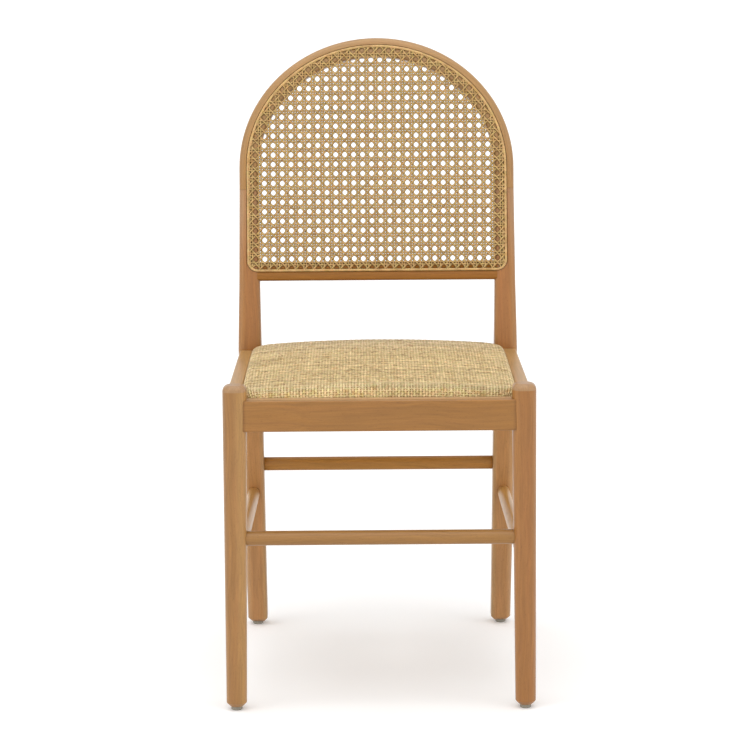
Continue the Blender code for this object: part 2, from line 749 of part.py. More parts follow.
def block_screw_ends():
    """Start under the head and end of both screws of each corner block, by name."""
    ends = {}
    for corner, (side, end) in CORNERS.items():
        start = block_point(side, end, BLOCK_SCREW_ALONG, BLOCK_SCREW_SEAT, BLOCK_MID_Z)
        stop = block_point(side, end, BLOCK_SCREW_ALONG, -SCREW_BITE_RAIL, BLOCK_MID_Z)
        stop.x = start.x
        ends["cross_rail_screw_" + corner] = (start, stop)
        start = block_point(side, end, BLOCK_SCREW_SEAT, BLOCK_SCREW_ALONG, BLOCK_MID_Z)
        stop = block_point(side, end, -SCREW_BITE_RAIL, BLOCK_SCREW_ALONG, BLOCK_MID_Z)
        ends["side_rail_screw_" + corner] = (start, stop)
    return ends


def seat_screw_ends():
    ends = {}
    for corner, (side, end) in CORNERS.items():
        start = block_point(side, end, SEAT_SCREW_IN, SEAT_SCREW_IN, BLOCK_UNDER_Z - FIT_GAP)
        stop = block_point(side, end, SEAT_SCREW_IN, SEAT_SCREW_IN, BOARD_UNDER_Z + SCREW_BITE_BOARD)
        ends["seat_screw_" + corner] = (start, stop)
    return ends


def screw_shape(start, stop):
    length = (stop - start).length
    profile = (
        (-SCREW_HEAD_HEIGHT, SCREW_HEAD_RADIUS), (0.0, SCREW_HEAD_RADIUS),
        (0.0, SCREW_SHANK_RADIUS), (length, SCREW_SHANK_RADIUS),
    )
    return turned(start, stop - start, profile, DOWEL_SIDES)


def block_screw_bore(start, stop):
    """Bore of a screw with a pocket for its head, open to the slanted face of the block."""
    length = (stop - start).length
    head = SCREW_HEAD_RADIUS + FIT_GAP
    shank = SCREW_SHANK_RADIUS + FIT_GAP
    profile = ((-BLOCK_SCREW_POCKET, head), (FIT_GAP, head), (FIT_GAP, shank), (length + PEG_END_ROOM, shank))
    return turned(start, stop - start, profile, DOWEL_SIDES)


def seat_screw_bore(start, stop):
    length = (stop - start).length
    shank = SCREW_SHANK_RADIUS + FIT_GAP
    profile = ((-OVERRUN, shank), (length + PEG_END_ROOM, shank))
    return turned(start, stop - start, profile, DOWEL_SIDES)


# Tenons and dowels: each function gives the pieces for grow = 0 and their bores for grow > 0


def peg_ends(into_leg, into_rail, grow):
    """Distances along a peg, from the joint, of its end in the leg and its end in the rail."""
    room = PEG_END_ROOM if grow > 0 else 0.0
    return -into_leg - room, into_rail + room


def tenon(joint, along, grow):
    """A flat loose tenon through a joint; along runs level into the rail."""
    along = Vector(along)
    up_way = Vector((0.0, 0.0, 1.0))
    side_way = along.cross(up_way)
    outline = rounded_outline(
        TENON_THICKNESS / 2 + grow, TENON_HEIGHT / 2 + grow, (TENON_EDGE + grow,) * 4, EDGE_STEPS
    )
    rings = []
    for distance in peg_ends(PEG_IN_LEG, PEG_IN_RAIL, grow):
        rings.append([Vector(joint) + along * distance + side_way * a + up_way * b for a, b in outline])
    return loft(rings)


def dowel(joint, along, radius, grow):
    profile = [(distance, radius + grow) for distance in peg_ends(PEG_IN_LEG, PEG_IN_RAIL, grow)]
    return turned(joint, along, profile, DOWEL_SIDES)


def post_front_y():
    """Front face of a rear post at the seat, where it is bent."""
    bend_back = BEND_RADIUS / math.cos((SPLAY + BACK_RAKE) / 2) - BEND_RADIUS
    return POST_BEND_Y + bend_back - POST_DEPTH_SEAT / 2


def rail_tenon_shapes(grow):
    """Tenons of the front and rear rail, then those of the side rails, at each corner."""
    cross_y = {-1: FRONT_RAIL_SETBACK + FRONT_RAIL_THICKNESS / 2, 1: POST_BEND_Y}
    face_x = {-1: leg_axis_x(RAIL_MID_Z) - leg_half(RAIL_MID_Z), 1: POST_AXIS_X_SEAT - POST_WIDTH_SEAT / 2}
    face_y = {-1: LEG_AXIS_Y + leg_half(RAIL_MID_Z), 1: post_front_y()}
    shapes = {}
    for corner, (side, end) in CORNERS.items():
        joint = (side * face_x[end], cross_y[end], RAIL_MID_Z)
        shapes["cross_rail_tenon_" + corner] = tenon(joint, (-side, 0, 0), grow)
        joint = (side * side_rail_x(face_y[end]), face_y[end], RAIL_MID_Z)
        shapes["side_rail_tenon_" + corner] = tenon(joint, (0, -end, 0), grow)
    return shapes


def stretcher_dowel_shapes(grow):
    half_leg = leg_half(FRONT_STRETCHER_Z)
    half_post = post_width(REAR_STRETCHER_Z - POST_BEND_Z) / 2
    half_post_depth = post_depth(SIDE_STRETCHER_Z - POST_BEND_Z) / 2
    shapes = {}
    for word, side in SIDES.items():
        inward = Vector((-side, 0.0, 0.0))
        front = Vector(front_stretcher_ends()[side > 0])
        rear = Vector(rear_stretcher_ends()[side > 0])
        side_front, side_rear = (Vector(point) for point in side_stretcher_ends(side))
        run = (side_rear - side_front).normalized()
        joints = {
            "front_stretcher_dowel_": (front + inward * half_leg, inward),
            "rear_stretcher_dowel_": (rear + inward * half_post, inward),
            "side_stretcher_dowel_front_": (side_front + run * leg_half(SIDE_STRETCHER_Z), run),
            "side_stretcher_dowel_rear_": (side_rear - run * half_post_depth, -run),
        }
        for name, (joint, along) in joints.items():
            shapes[name + word] = dowel(joint, along, STRETCHER_DOWEL_RADIUS, grow)
    return shapes


def back_dowel_shapes(grow):
    """A dowel at each end of the lower rail, and one up through each joint of the arch."""
    out = BACK_HALF - GROOVE_DEPTH - BACK_DOWEL_RADIUS - OVERRUN
    slope = Vector((0.0, math.sin(BACK_RAKE), math.cos(BACK_RAKE)))
    shapes = {}
    for word, side in SIDES.items():
        joint = on_back(side * OPENING_HALF, LOWER_RAIL_AXIS_UP, out)
        shapes["lower_rail_dowel_" + word] = dowel(joint, (-side, 0, 0), BACK_DOWEL_RADIUS, grow)
        joint = on_back(side * ARCH_AXIS_HALF, ARCH_JOINT_UP, 0.0)
        ends = peg_ends(ARCH_DOWEL_REACH, ARCH_DOWEL_REACH, grow)
        profile = [(distance, BACK_DOWEL_RADIUS + grow) for distance in ends]
        shapes["arch_dowel_" + word] = turned(joint, slope, profile, DOWEL_SIDES)
    return shapes


def peg_shapes(grow):
    return {**rail_tenon_shapes(grow), **stretcher_dowel_shapes(grow), **back_dowel_shapes(grow)}


# Floor glides


def glide_centres():
    """Middle of the underside of each glide, on the floor."""
    front_x = leg_axis_x(WOOD_FOOT_Z)
    rear_x = post_axis_x_at(WOOD_FOOT_Z)
    rear_y = post_axis_y(WOOD_FOOT_Z)
    places = {-1: (front_x, LEG_AXIS_Y), 1: (rear_x, rear_y)}
    return {
        corner: Vector((side * places[end][0], places[end][1], 0.0))
        for corner, (side, end) in CORNERS.items()
    }


def glide_shape(centre):
    """A round foot with the nail that holds it, in one piece."""
    profile = (
        (0.0, GLIDE_RADIUS - GLIDE_EDGE), (GLIDE_EDGE, GLIDE_RADIUS), (GLIDE_HEIGHT, GLIDE_RADIUS),
        (GLIDE_HEIGHT, GLIDE_NAIL_RADIUS), (GLIDE_HEIGHT + GLIDE_NAIL_LENGTH, GLIDE_NAIL_RADIUS),
    )
    return turned(centre, (0, 0, 1), profile, GLIDE_SIDES)


def nail_bore_shape(centre):
    radius = GLIDE_NAIL_RADIUS + FIT_GAP
    top = GLIDE_HEIGHT + GLIDE_NAIL_LENGTH + PEG_END_ROOM
    return turned(centre, (0, 0, 1), ((GLIDE_HEIGHT - OVERRUN, radius), (top, radius)), GLIDE_SIDES)


# The whole chair


def build_cutters():
    legs = [leg_shape(side, FIT_GAP) for side in SIDES.values()]
    posts = [post_shape(side, FIT_GAP) for side in SIDES.values()]
    block_bores = [block_screw_bore(*ends) for ends in block_screw_ends().values()]
    seat_bores = [seat_screw_bore(*ends) for ends in seat_screw_ends().values()]
    nail_bores = [nail_bore_shape(centre) for centre in glide_centres().values()]
    return {
        "legs": make_cutter("leg_room", legs + posts),
        "pegs": make_cutter("peg_bores", list(peg_shapes(FIT_GAP).values())),
        "groove": make_cutter("groove_room", [swept_round_panel(groove_section())]),
        "gaps": make_cutter("cane_gaps", cane_gap_shapes()),
        "block_screws": make_cutter("block_screw_bores", block_bores),
        "seat_screws": make_cutter("seat_screw_bores", seat_bores),
        "nails": make_cutter("nail_bores", nail_bores),
    }


def part(name, shape, material, *cutters):
    verts, faces = shape
    thing = mesh_object(name, verts, faces, material)
    cut(thing, *cutters)
    return thing


def build_sides(wood, tools):
    parts = []
    for word, side in SIDES.items():
        leg_tools = (tools["pegs"], tools["nails"])
        parts.append(part("front_leg_" + word, leg_shape(side), wood, *leg_tools))
        parts.append(part("rear_post_" + word, post_shape(side), wood, tools["groove"], *leg_tools))
        rail_tools = (tools["legs"], tools["pegs"], tools["block_screws"])
        parts.append(part("side_seat_rail_" + word, side_rail_shape(side), wood, *rail_tools))
        bar = stretcher_shape(*side_stretcher_ends(side))
        parts.append(part("side_stretcher_" + word, bar, wood, tools["legs"], tools["pegs"]))
    return parts


def build_cross_pieces(wood, tools):
    front_y = FRONT_RAIL_SETBACK + FRONT_RAIL_THICKNESS / 2
    rails = {
        "front_seat_rail": cross_rail_shape(front_y, FRONT_RAIL_THICKNESS, leg_axis_x(RAIL_MID_Z)),
        "rear_seat_rail": cross_rail_shape(POST_BEND_Y, REAR_RAIL_THICKNESS, POST_AXIS_X_SEAT),
    }
    bars = {"front_stretcher": front_stretcher_ends(), "rear_stretcher": rear_stretcher_ends()}
    parts = []
    for name, shape in rails.items():
        parts.append(part(name, shape, wood, tools["legs"], tools["pegs"], tools["block_screws"]))
    for name, ends in bars.items():
        parts.append(part(name, stretcher_shape(*ends), wood, tools["legs"], tools["pegs"]))
    parts.append(part("back_arch", arch_shape(), wood, tools["pegs"], tools["groove"]))
    low_tools = (tools["legs"], tools["pegs"], tools["groove"])
    parts.append(part("back_lower_rail", lower_rail_shape(), wood, *low_tools))
    return parts


def build_back_panel(tools):
    cane = finish("cane", CANE_FINISH)
    cord = finish("cane_spline", SPLINE_FINISH)
    return [
        part("back_cane", cane_shape(), cane, tools["gaps"]),
        part("back_spline", swept_round_panel(spline_section()), cord),
    ]


def build_seat(tools):
    return [
        part("seat_board", seat_board_shape(), finish("plywood", PLY_FINISH), tools["seat_screws"]),
        part("seat_pad", seat_pad_shape(), finish("foam", FOAM_FINISH)),
        part("seat_cover", seat_cover_shape(), finish("seat_cane", SEAT_CANE_FINISH)),
    ]


def build_fixings(wood, tools):
    steel = finish("steel", STEEL_FINISH)
    pale = finish("peg_beech", PEG_FINISH)
    parts = []
    block_tools = (tools["block_screws"], tools["seat_screws"])
    for corner, (side, end) in CORNERS.items():
        parts.append(part("corner_block_" + corner, block_shape(side, end), wood, *block_tools))
    for name, ends in {**block_screw_ends(), **seat_screw_ends()}.items():
        parts.append(part(name, screw_shape(*ends), steel))
    for name, shape in peg_shapes(0.0).items():
        parts.append(part(name, shape, pale))
    return parts


def build_glides():
    plastic = finish("glide_plastic", GLIDE_FINISH)
    centres = glide_centres()
    return [part("glide_" + corner, glide_shape(centre), plastic) for corner, centre in centres.items()]


def centre_chair(parts, tools):
    """Everything hangs on one empty, moved so that the footprint is centred on the origin."""
    rear_edges = [vert.co.y for thing in parts for vert in thing.data.vertices]
    chair = bpy.data.objects.new("chair", None)
    bpy.context.scene.collection.objects.link(chair)
    chair.location.y = -(min(rear_edges) + max(rear_edges)) / 2
    for thing in parts + list(tools.values()):
        thing.parent = chair


def main():
    clear_scene()
    wood = finish("beech", BEECH_FINISH)
    tools = build_cutters()
    parts = build_sides(wood, tools)
    parts += build_cross_pieces(wood, tools)
    parts += build_back_panel(tools)
    parts += build_seat(tools)
    parts += build_fixings(wood, tools)
    parts += build_glides()
    centre_chair(parts, tools)


main()
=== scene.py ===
# Dining chair of bent beech: an arched back with open cane, and a drop-in seat of woven cane.
# Lengths are in metres. The chair faces -Y and stands on z = 0.
import json
import math

import bpy
from mathutils import Matrix, Vector

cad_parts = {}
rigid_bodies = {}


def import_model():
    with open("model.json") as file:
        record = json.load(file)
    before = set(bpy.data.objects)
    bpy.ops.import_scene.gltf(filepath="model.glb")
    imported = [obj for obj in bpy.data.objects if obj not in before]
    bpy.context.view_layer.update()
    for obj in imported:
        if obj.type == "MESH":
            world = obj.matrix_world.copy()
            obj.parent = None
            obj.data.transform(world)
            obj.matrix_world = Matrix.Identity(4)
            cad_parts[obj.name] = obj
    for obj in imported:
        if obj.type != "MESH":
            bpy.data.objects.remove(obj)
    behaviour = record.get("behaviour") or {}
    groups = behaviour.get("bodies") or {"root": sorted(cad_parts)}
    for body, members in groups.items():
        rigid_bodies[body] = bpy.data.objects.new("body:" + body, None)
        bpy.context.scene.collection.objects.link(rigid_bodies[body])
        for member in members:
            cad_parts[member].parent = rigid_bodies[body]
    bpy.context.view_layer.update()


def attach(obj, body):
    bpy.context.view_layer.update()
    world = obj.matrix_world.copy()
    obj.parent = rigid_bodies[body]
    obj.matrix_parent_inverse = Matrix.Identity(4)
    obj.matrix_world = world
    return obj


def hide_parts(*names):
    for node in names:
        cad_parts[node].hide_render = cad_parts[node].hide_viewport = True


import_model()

# Camera of the photograph, whose frame is square. LOOK and UP are directions.
EYE = Vector((-0.02036, -4.20987, 1.25837))
LOOK = Vector((0.00359564, 0.98106754, -0.19363252))
UP = Vector((0.00729656, 0.19360287, 0.98105285))
FOCAL_PIXELS = 2984.83
FRAME_PIXELS = 750
SENSOR_WIDTH = 36.0
VIEW_END = 200.0

# Middle of the chair, measured from the front of its legs: y = 0 lies there
BOX_MIDDLE_Y = 0.24273

# Joints between pieces, points that are merged, and angles in degrees that stay sharp
JOINT_GAP = 0.0003
SAME_POINT = 0.00001
SAME_STRAND_POINT = 0.00002
SHARP_ANGLE = 35
ROUND_BAR_SHARP_ANGLE = 50

# Fineness of round edges and bends
LEG_STEPS = 8
FOOT_STEPS = 3
EDGE_STEPS = 6
RAIL_STEPS = 4
SPLINE_STEPS = 3
BEND_STEPS = 16
ARCH_STEPS = 64
GROOVE_ARCH_STEPS = 72
GROOVE_CORNER_STEPS = 6
STRETCHER_SIDES = 32

# Front legs
LEG_TOP_Z = 0.4600
LEG_X_TOP = 0.1971
LEG_X_FOOT = 0.2008
LEG_WIDTH_TOP = 0.0334
LEG_WIDTH_FOOT = 0.0283
LEG_CORNER = 0.0125
LEG_DOME = 0.0085
FOOT_Z = 0.0053
FOOT_CHAMFER = 0.0058
FOOT_CHAMFER_PROFILE = 0.3
LEG_Y = LEG_WIDTH_TOP / 2 - BOX_MIDDLE_Y

# Rear posts, bent where the back starts
RAIL_TOP_Z = 0.4395
BEND_Z = RAIL_TOP_Z
BEND_Y = 0.3880 - BOX_MIDDLE_Y
POST_FOOT_Y = 0.4520 - BOX_MIDDLE_Y
BEND_REACH = 0.0800
POST_X_FOOT = 0.1857
POST_X_SEAT = 0.1896
POST_X_ARCH = 0.1889
POST_WIDTH_FOOT = 0.0297
POST_WIDTH_SEAT = 0.0344
POST_WIDTH_BACK = 0.0310
POST_DEPTH_FOOT = 0.0300
POST_DEPTH_SEAT = 0.0360
POST_SIDE_EDGE_FROM = 0.0120
POST_SHORTEST_EDGE = 0.0060
CORNER_OUTER = 0.0100
CORNER_INNER = 0.0055
BACK_RAKE = math.radians(10.86)
BACK_DEPTH = 0.0260
BACK_EVEN_UP = 0.0950
SPLAY = math.atan2(POST_FOOT_Y - BEND_Y, BEND_Z)
BEND_RADIUS = BEND_REACH / math.tan((SPLAY + BACK_RAKE) / 2)

# Arch, lower rail, groove and spline of the back
ARCH_WIDTH = 0.0290
ARCH_JOINT_UP = 0.2355
ARCH_SPRING_UP = 0.2680
ARCH_RISE = 0.1773
ARCH_EDGE_SWAY = 0.0020
ARCH_EDGE_MARGIN = 0.0015
LOWER_RAIL_UP = 0.1008
LOWER_RAIL_HEIGHT = 0.0280
LOWER_RAIL_DEPTH = 0.0220
LOWER_RAIL_EDGE = 0.0030
GROOVE_WIDTH = 0.0052
GROOVE_DEPTH = 0.0050
GROOVE_OUT_OF_AXIS = 0.0016
GROOVE_CORNER = 0.0140
GROOVE_HALF = POST_X_ARCH + GROOVE_OUT_OF_AXIS
GROOVE_RISE = ARCH_RISE + GROOVE_OUT_OF_AXIS
GROOVE_ABOVE_RAIL_AXIS = 0.0010
GROOVE_EDGE_SWAY = 0.0010
GROOVE_LOW_UP = LOWER_RAIL_UP + LOWER_RAIL_HEIGHT / 2 + GROOVE_ABOVE_RAIL_AXIS
SPLINE_WIDTH = 0.0038
SPLINE_PROUD = 0.0016
SPLINE_ROUND_SHARE = 0.4

# Cane of the back: its cells, and its strands, which dip towards the groove
CANE_PITCH_X = 0.01323
CANE_PITCH_UP = 0.01399
CANE_COLUMNS = 29
CANE_ROWS = 26
CANE_FIRST_X = -0.0007
CANE_FIRST_UP = 0.1257
CANE_WIDTH = 0.0026
CANE_SLANT_WIDTH = 0.0029
CANE_THICK = 0.0006
CANE_PAIR = 0.00180
CANE_LIFT = 0.0004
CANE_DIP = 0.0050
CANE_DIP_SHARE = 0.75
CANE_PAIR_STEPS = 6
CANE_SLANT_STEPS = 4
STRAND_END_POINTS = 12

# Seat rails and stretchers
RAIL_HEIGHT = 0.0430
RAIL_EDGE = 0.0018
FRONT_RAIL_THICK = 0.0240
FRONT_RAIL_SETBACK = 0.0025
SIDE_RAIL_THICK = 0.0190
SIDE_RAIL_SETBACK = 0.0028
REAR_RAIL_THICK = 0.0180
STRETCHER_HEIGHT = 0.0204
STRETCHER_DEPTH = 0.0180
FRONT_STRETCHER_Z = 0.2445
REAR_STRETCHER_Z = 0.2587
SIDE_STRETCHER_Z = 0.2148
SIDE_STRETCHER_INSET = 0.0025

# Drop-in seat
SEAT_FRONT_Y = 0.0275 - BOX_MIDDLE_Y
SEAT_REAR_Y = 0.3735 - BOX_MIDDLE_Y
SEAT_HALF_FRONT = 0.1890
SEAT_HALF_REAR = 0.1850
SEAT_CORNER_FRONT = 0.0220
SEAT_CORNER_REAR = 0.0340
SEAT_UNDER_Z = 0.4223
SEAT_EDGE_Z = 0.4490
SEAT_ROLL = 0.0085
SEAT_TURN_IN = 0.0120
SEAT_CROWN_ACROSS = 0.0080
SEAT_CROWN_ALONG = 0.0040
SEAT_PITCH = 0.0042
SEAT_ROW = 0.0034
SEAT_STRAND_WIDTH = 0.0040
SEAT_ROW_WIDTH = 0.0032
SEAT_STRAND_THICK = 0.0007
SEAT_LIFT = 0.00024
SEAT_RAISED = 0.00010
SEAT_STRAND_DEEP = 0.0007
SEAT_STRAND_STEPS = 4
SEAT_STRAND_SIDES = 3
SEAT_BACKING_DEEP = 0.0014
SEAT_BACKING_THICK = 0.0003
SEAT_BACKING_CELLS = (110, 100)
SEAT_SPARE = 0.0360
SEAT_MIDDLE_Y = (SEAT_FRONT_Y + SEAT_REAR_Y) / 2
FLAT_SEAT_WIDTH = 2 * (SEAT_HALF_FRONT + SEAT_SPARE)
FLAT_SEAT_LENGTH = SEAT_REAR_Y - SEAT_FRONT_Y + 2 * SEAT_SPARE

# How far the seat's strands stray from straight lines, with waves in radians per metre
SEAT_STRAY_X = 0.0005
SEAT_STRAY_Y = 0.0007
STRAY_WAVES = (61.7, 43.1, 97.3, 71.9)
COLUMN_SEED = 1.9
ROW_SEED = 2.7


# Ways of working


def deselect():
    if bpy.context.mode != "OBJECT":
        leave()
    bpy.ops.object.select_all(action="DESELECT")


def take(piece):
    """Make this piece the only selected and active one."""
    deselect()
    piece.select_set(True)
    bpy.context.view_layer.objects.active = piece


def edit(piece):
    take(piece)
    bpy.ops.object.mode_set(mode="EDIT")


def edit_all(piece):
    edit(piece)
    bpy.ops.mesh.select_all(action="SELECT")


def leave():
    bpy.ops.object.mode_set(mode="OBJECT")


def settle(piece):
    """Put the place, turn and size of a piece into its mesh."""
    take(piece)
    bpy.ops.object.transform_apply(location=True, rotation=True, scale=True)


def moved(piece, place):
    piece.location = place
    settle(piece)


def new_piece(name):
    piece = bpy.context.active_object
    piece.name = name
    piece.data.name = name
    return piece


def block(name, middle, size):
    deselect()
    bpy.ops.mesh.primitive_cube_add(size=1.0, location=middle)
    piece = new_piece(name)
    piece.scale = size
    settle(piece)
    return piece


def plate(name, middle, width, depth, turn=(0.0, 0.0, 0.0)):
    deselect()
    bpy.ops.mesh.primitive_plane_add(size=1.0, location=middle, rotation=turn)
    piece = new_piece(name)
    piece.scale = (width, depth, 1.0)
    settle(piece)
    return piece


def choose(piece, kind, test):
    """In edit mode, select the points, edges or faces that pass a test, and nothing else."""
    if bpy.context.mode == "OBJECT":
        edit(piece)
    bpy.ops.mesh.select_mode(type=kind)
    bpy.ops.mesh.select_all(action="DESELECT")
    leave()
    mesh = piece.data
    for item in {"VERT": mesh.vertices, "EDGE": mesh.edges, "FACE": mesh.polygons}[kind]:
        item.select = test(item)
    bpy.ops.object.mode_set(mode="EDIT")


def ends_of(piece, edge):
    return [piece.data.vertices[index].co for index in edge.vertices]


def choose_edges(piece, test):
    choose(piece, "EDGE", lambda edge: test(*ends_of(piece, edge)))


def round_edges(piece, test, radius, steps, profile=0.5):
    choose_edges(piece, test)
    bpy.ops.mesh.bevel(offset=radius, segments=steps, profile=profile, affect="EDGES")


def turn_selected(angle, axis, centre):
    """Turn what is selected, counterclockwise seen from the end of the axis."""
    bpy.ops.transform.rotate(value=-angle, orient_axis=axis, center_override=centre)


def tidy_up(piece, sharp=SHARP_ANGLE):
    """Merge doubles, turn faces outwards and shade smooth up to an angle."""
    edit_all(piece)
    bpy.ops.mesh.remove_doubles(threshold=SAME_POINT)
    bpy.ops.mesh.normals_make_consistent(inside=False)
    leave()
    bpy.ops.object.shade_smooth_by_angle(angle=math.radians(sharp))


def modify(piece, kind, **values):
    """Add a modifier with these values and apply it."""
    take(piece)
    step = piece.modifiers.new(kind.lower(), kind)
    for key, value in values.items():
        setattr(step, key, value)
    bpy.ops.object.modifier_apply(modifier=step.name)


def copy_of(piece, name):
    take(piece)
    bpy.ops.object.duplicate(linked=False)
    return new_piece(name)


def remove(piece):
    bpy.data.objects.remove(piece, do_unlink=True)


def mirrored(piece, name):
    """The same piece on the other side of the chair."""
    other = copy_of(piece, name)
    other.scale = (-1.0, 1.0, 1.0)
    settle(other)
    tidy_up(other)
    return other


def fattened(piece, amount):
    thick = copy_of(piece, "fit_" + piece.name)
    edit_all(thick)
    bpy.ops.transform.shrink_fatten(value=amount)
    leave()
    return thick


def subtract(piece, cutter):
    modify(piece, "BOOLEAN", operation="DIFFERENCE", solver="EXACT", object=cutter)


def trim(piece, *others):
    """Cut a piece where others pass through it, and leave a thin joint."""
    for other in others:
        cutter = fattened(other, JOINT_GAP)
        subtract(piece, cutter)
        remove(cutter)


def share_of(low, high, share):
    return low + (high - low) * share


def rail(name, middle, size, edge):
    """A straight bar whose long edges are rounded."""
    piece = block(name, middle, size)
    way = 0 if size[0] > size[1] else 1
    round_edges(piece, lambda a, b: abs(a[way] - b[way]) > RAIL_HEIGHT * 2, edge, RAIL_STEPS)
    tidy_up(piece)
    return piece


# Feet and front legs


def chamfer_foot(piece):
    at_foot = lambda a, b: max(a.z, b.z) < FOOT_Z + JOINT_GAP
    round_edges(piece, at_foot, FOOT_CHAMFER, FOOT_STEPS, FOOT_CHAMFER_PROFILE)


def leg_x(z):
    return share_of(LEG_X_FOOT, LEG_X_TOP, z / LEG_TOP_Z)


def leg_half(z):
    return share_of(LEG_WIDTH_FOOT, LEG_WIDTH_TOP, z / LEG_TOP_Z) / 2


def front_leg():
    """Left front leg: tapered, splayed, rounded along its edges and over its top."""
    middle = (-LEG_X_TOP, LEG_Y, (LEG_TOP_Z + FOOT_Z) / 2)
    size = (LEG_WIDTH_TOP, LEG_WIDTH_TOP, LEG_TOP_Z - FOOT_Z)
    leg = block("front_leg_left_finished", middle, size)
    choose(leg, "FACE", lambda face: face.center.z < FOOT_Z + JOINT_GAP)
    ratio = LEG_WIDTH_FOOT / LEG_WIDTH_TOP
    bpy.ops.transform.resize(value=(ratio, ratio, 1.0), center_override=(-LEG_X_TOP, LEG_Y, FOOT_Z))
    bpy.ops.transform.translate(value=(LEG_X_TOP - LEG_X_FOOT, 0.0, 0.0))
    round_edges(leg, lambda a, b: abs(a.z - b.z) > LEG_WIDTH_TOP, LEG_CORNER, LEG_STEPS)
    at_top = lambda a, b: min(a.z, b.z) > LEG_TOP_Z - JOINT_GAP
    round_edges(leg, at_top, LEG_DOME, LEG_STEPS)
    chamfer_foot(leg)
    tidy_up(leg)
    return leg


# Rear posts


def post_stations():
    """Along the post from its foot: centre, lean, width and depth."""
    stations = [(-POST_X_FOOT, POST_FOOT_Y, FOOT_Z, 0.0, POST_WIDTH_FOOT, POST_DEPTH_FOOT)]
    start = BEND_Y + BEND_REACH * math.sin(SPLAY), BEND_Z - BEND_REACH * math.cos(SPLAY)
    centre = start[0] + BEND_RADIUS * math.cos(SPLAY), start[1] + BEND_RADIUS * math.sin(SPLAY)
    for k in range(BEND_STEPS + 1):
        lean = share_of(-SPLAY, BACK_RAKE, k / BEND_STEPS)
        up = share_of(-BEND_REACH, BEND_REACH, k / BEND_STEPS)
        y = centre[0] - BEND_RADIUS * math.cos(lean)
        z = centre[1] + BEND_RADIUS * math.sin(lean)
        stations.append((-post_x(up), y, z, lean, post_width(up), post_depth(up)))
    for up in (BACK_EVEN_UP, ARCH_JOINT_UP):
        y, z = BEND_Y + up * math.sin(BACK_RAKE), BEND_Z + up * math.cos(BACK_RAKE)
        stations.append((-post_x(up), y, z, BACK_RAKE, post_width(up), post_depth(up)))
    return stations


def post_x(up):
    if up < 0:
        return share_of(POST_X_SEAT, POST_X_FOOT, -up / BEND_Z)
    return share_of(POST_X_SEAT, POST_X_ARCH, up / ARCH_JOINT_UP)


def post_width(up):
    if up < 0:
        return share_of(POST_WIDTH_SEAT, POST_WIDTH_FOOT, -up / BEND_Z)
    if up < BACK_EVEN_UP:
        return share_of(POST_WIDTH_SEAT, POST_WIDTH_BACK, up / BACK_EVEN_UP)
    return share_of(POST_WIDTH_BACK, ARCH_WIDTH, (up - BACK_EVEN_UP) / (ARCH_JOINT_UP - BACK_EVEN_UP))


def post_depth(up):
    if up < 0:
        return share_of(POST_DEPTH_SEAT, POST_DEPTH_FOOT, -up / BEND_Z)
    return share_of(POST_DEPTH_SEAT, BACK_DEPTH, min(up / BACK_EVEN_UP, 1))


def selected_points(piece):
    leave()
    chosen = [point.index for point in piece.data.vertices if point.select]
    bpy.ops.object.mode_set(mode="EDIT")
    return chosen


def rear_post():
    """Left rear post: extruded up its bend, each ring leaned, then its long edges rounded."""
    stations = post_stations()
    x, y, z, lean, width, depth = stations[0]
    post = plate("rear_post_left_finished", (x, y, z), width, depth)
    choose(post, "FACE", lambda face: True)
    rings = [selected_points(post)]
    for last, this in zip(stations, stations[1:]):
        step = [b - a for a, b in zip(last[:3], this[:3])]
        bpy.ops.mesh.extrude_region_move(TRANSFORM_OT_translate={"value": step})
        growth = (this[4] / last[4], this[5] / last[5], 1.0)
        bpy.ops.transform.resize(value=growth, center_override=this[:3])
        rings.append(selected_points(post))
    for ring, station in zip(rings, stations):
        members = set(ring)
        choose(post, "VERT", lambda point: point.index in members)
        turn_selected(-station[3], "X", station[:3])
    for outer, radius in ((True, CORNER_OUTER), (False, CORNER_INNER)):
        round_edges(post, lambda a, b: runs_up_post(a, b, outer), radius, EDGE_STEPS)
    chamfer_foot(post)
    tidy_up(post)
    return post


def runs_up_post(a, b, outer):
    """True for an edge that runs up the left post on its outer or its inner side."""
    rise = abs(a.z - b.z)
    if rise < POST_SHORTEST_EDGE or abs(a.y - b.y) > 2 * rise:
        return False
    middle = (a + b) / 2
    inwards = middle.x + post_x(middle.z - BEND_Z)
    if abs(inwards) < POST_SIDE_EDGE_FROM:
        return False
    return (inwards < 0) == outer


# The back, modelled flat: x across, y up its slope, z out of its face


def stand_up(piece):
    """Turn a piece of the back from its flat place to its real one."""
    piece.rotation_euler = (math.pi / 2 - BACK_RAKE, 0.0, 0.0)
    moved(piece, (0.0, BEND_Y, BEND_Z))


def arch_station(half, rise, angle):
    """A place on the round of the arch, and the direction out of it."""
    x, up = half * math.cos(angle), rise * math.sin(angle)
    return Vector((x, ARCH_SPRING_UP + up, 0.0)), math.atan2(up / rise ** 2, x / half ** 2)


def arch_stations(half, rise, steps):
    """Over the round of the arch from right to left."""
    stations = [arch_station(half, rise, math.pi * k / steps) for k in range(steps)]
    last = arch_station(half, rise, math.pi)[0]
    return stations + [(last, math.pi)]


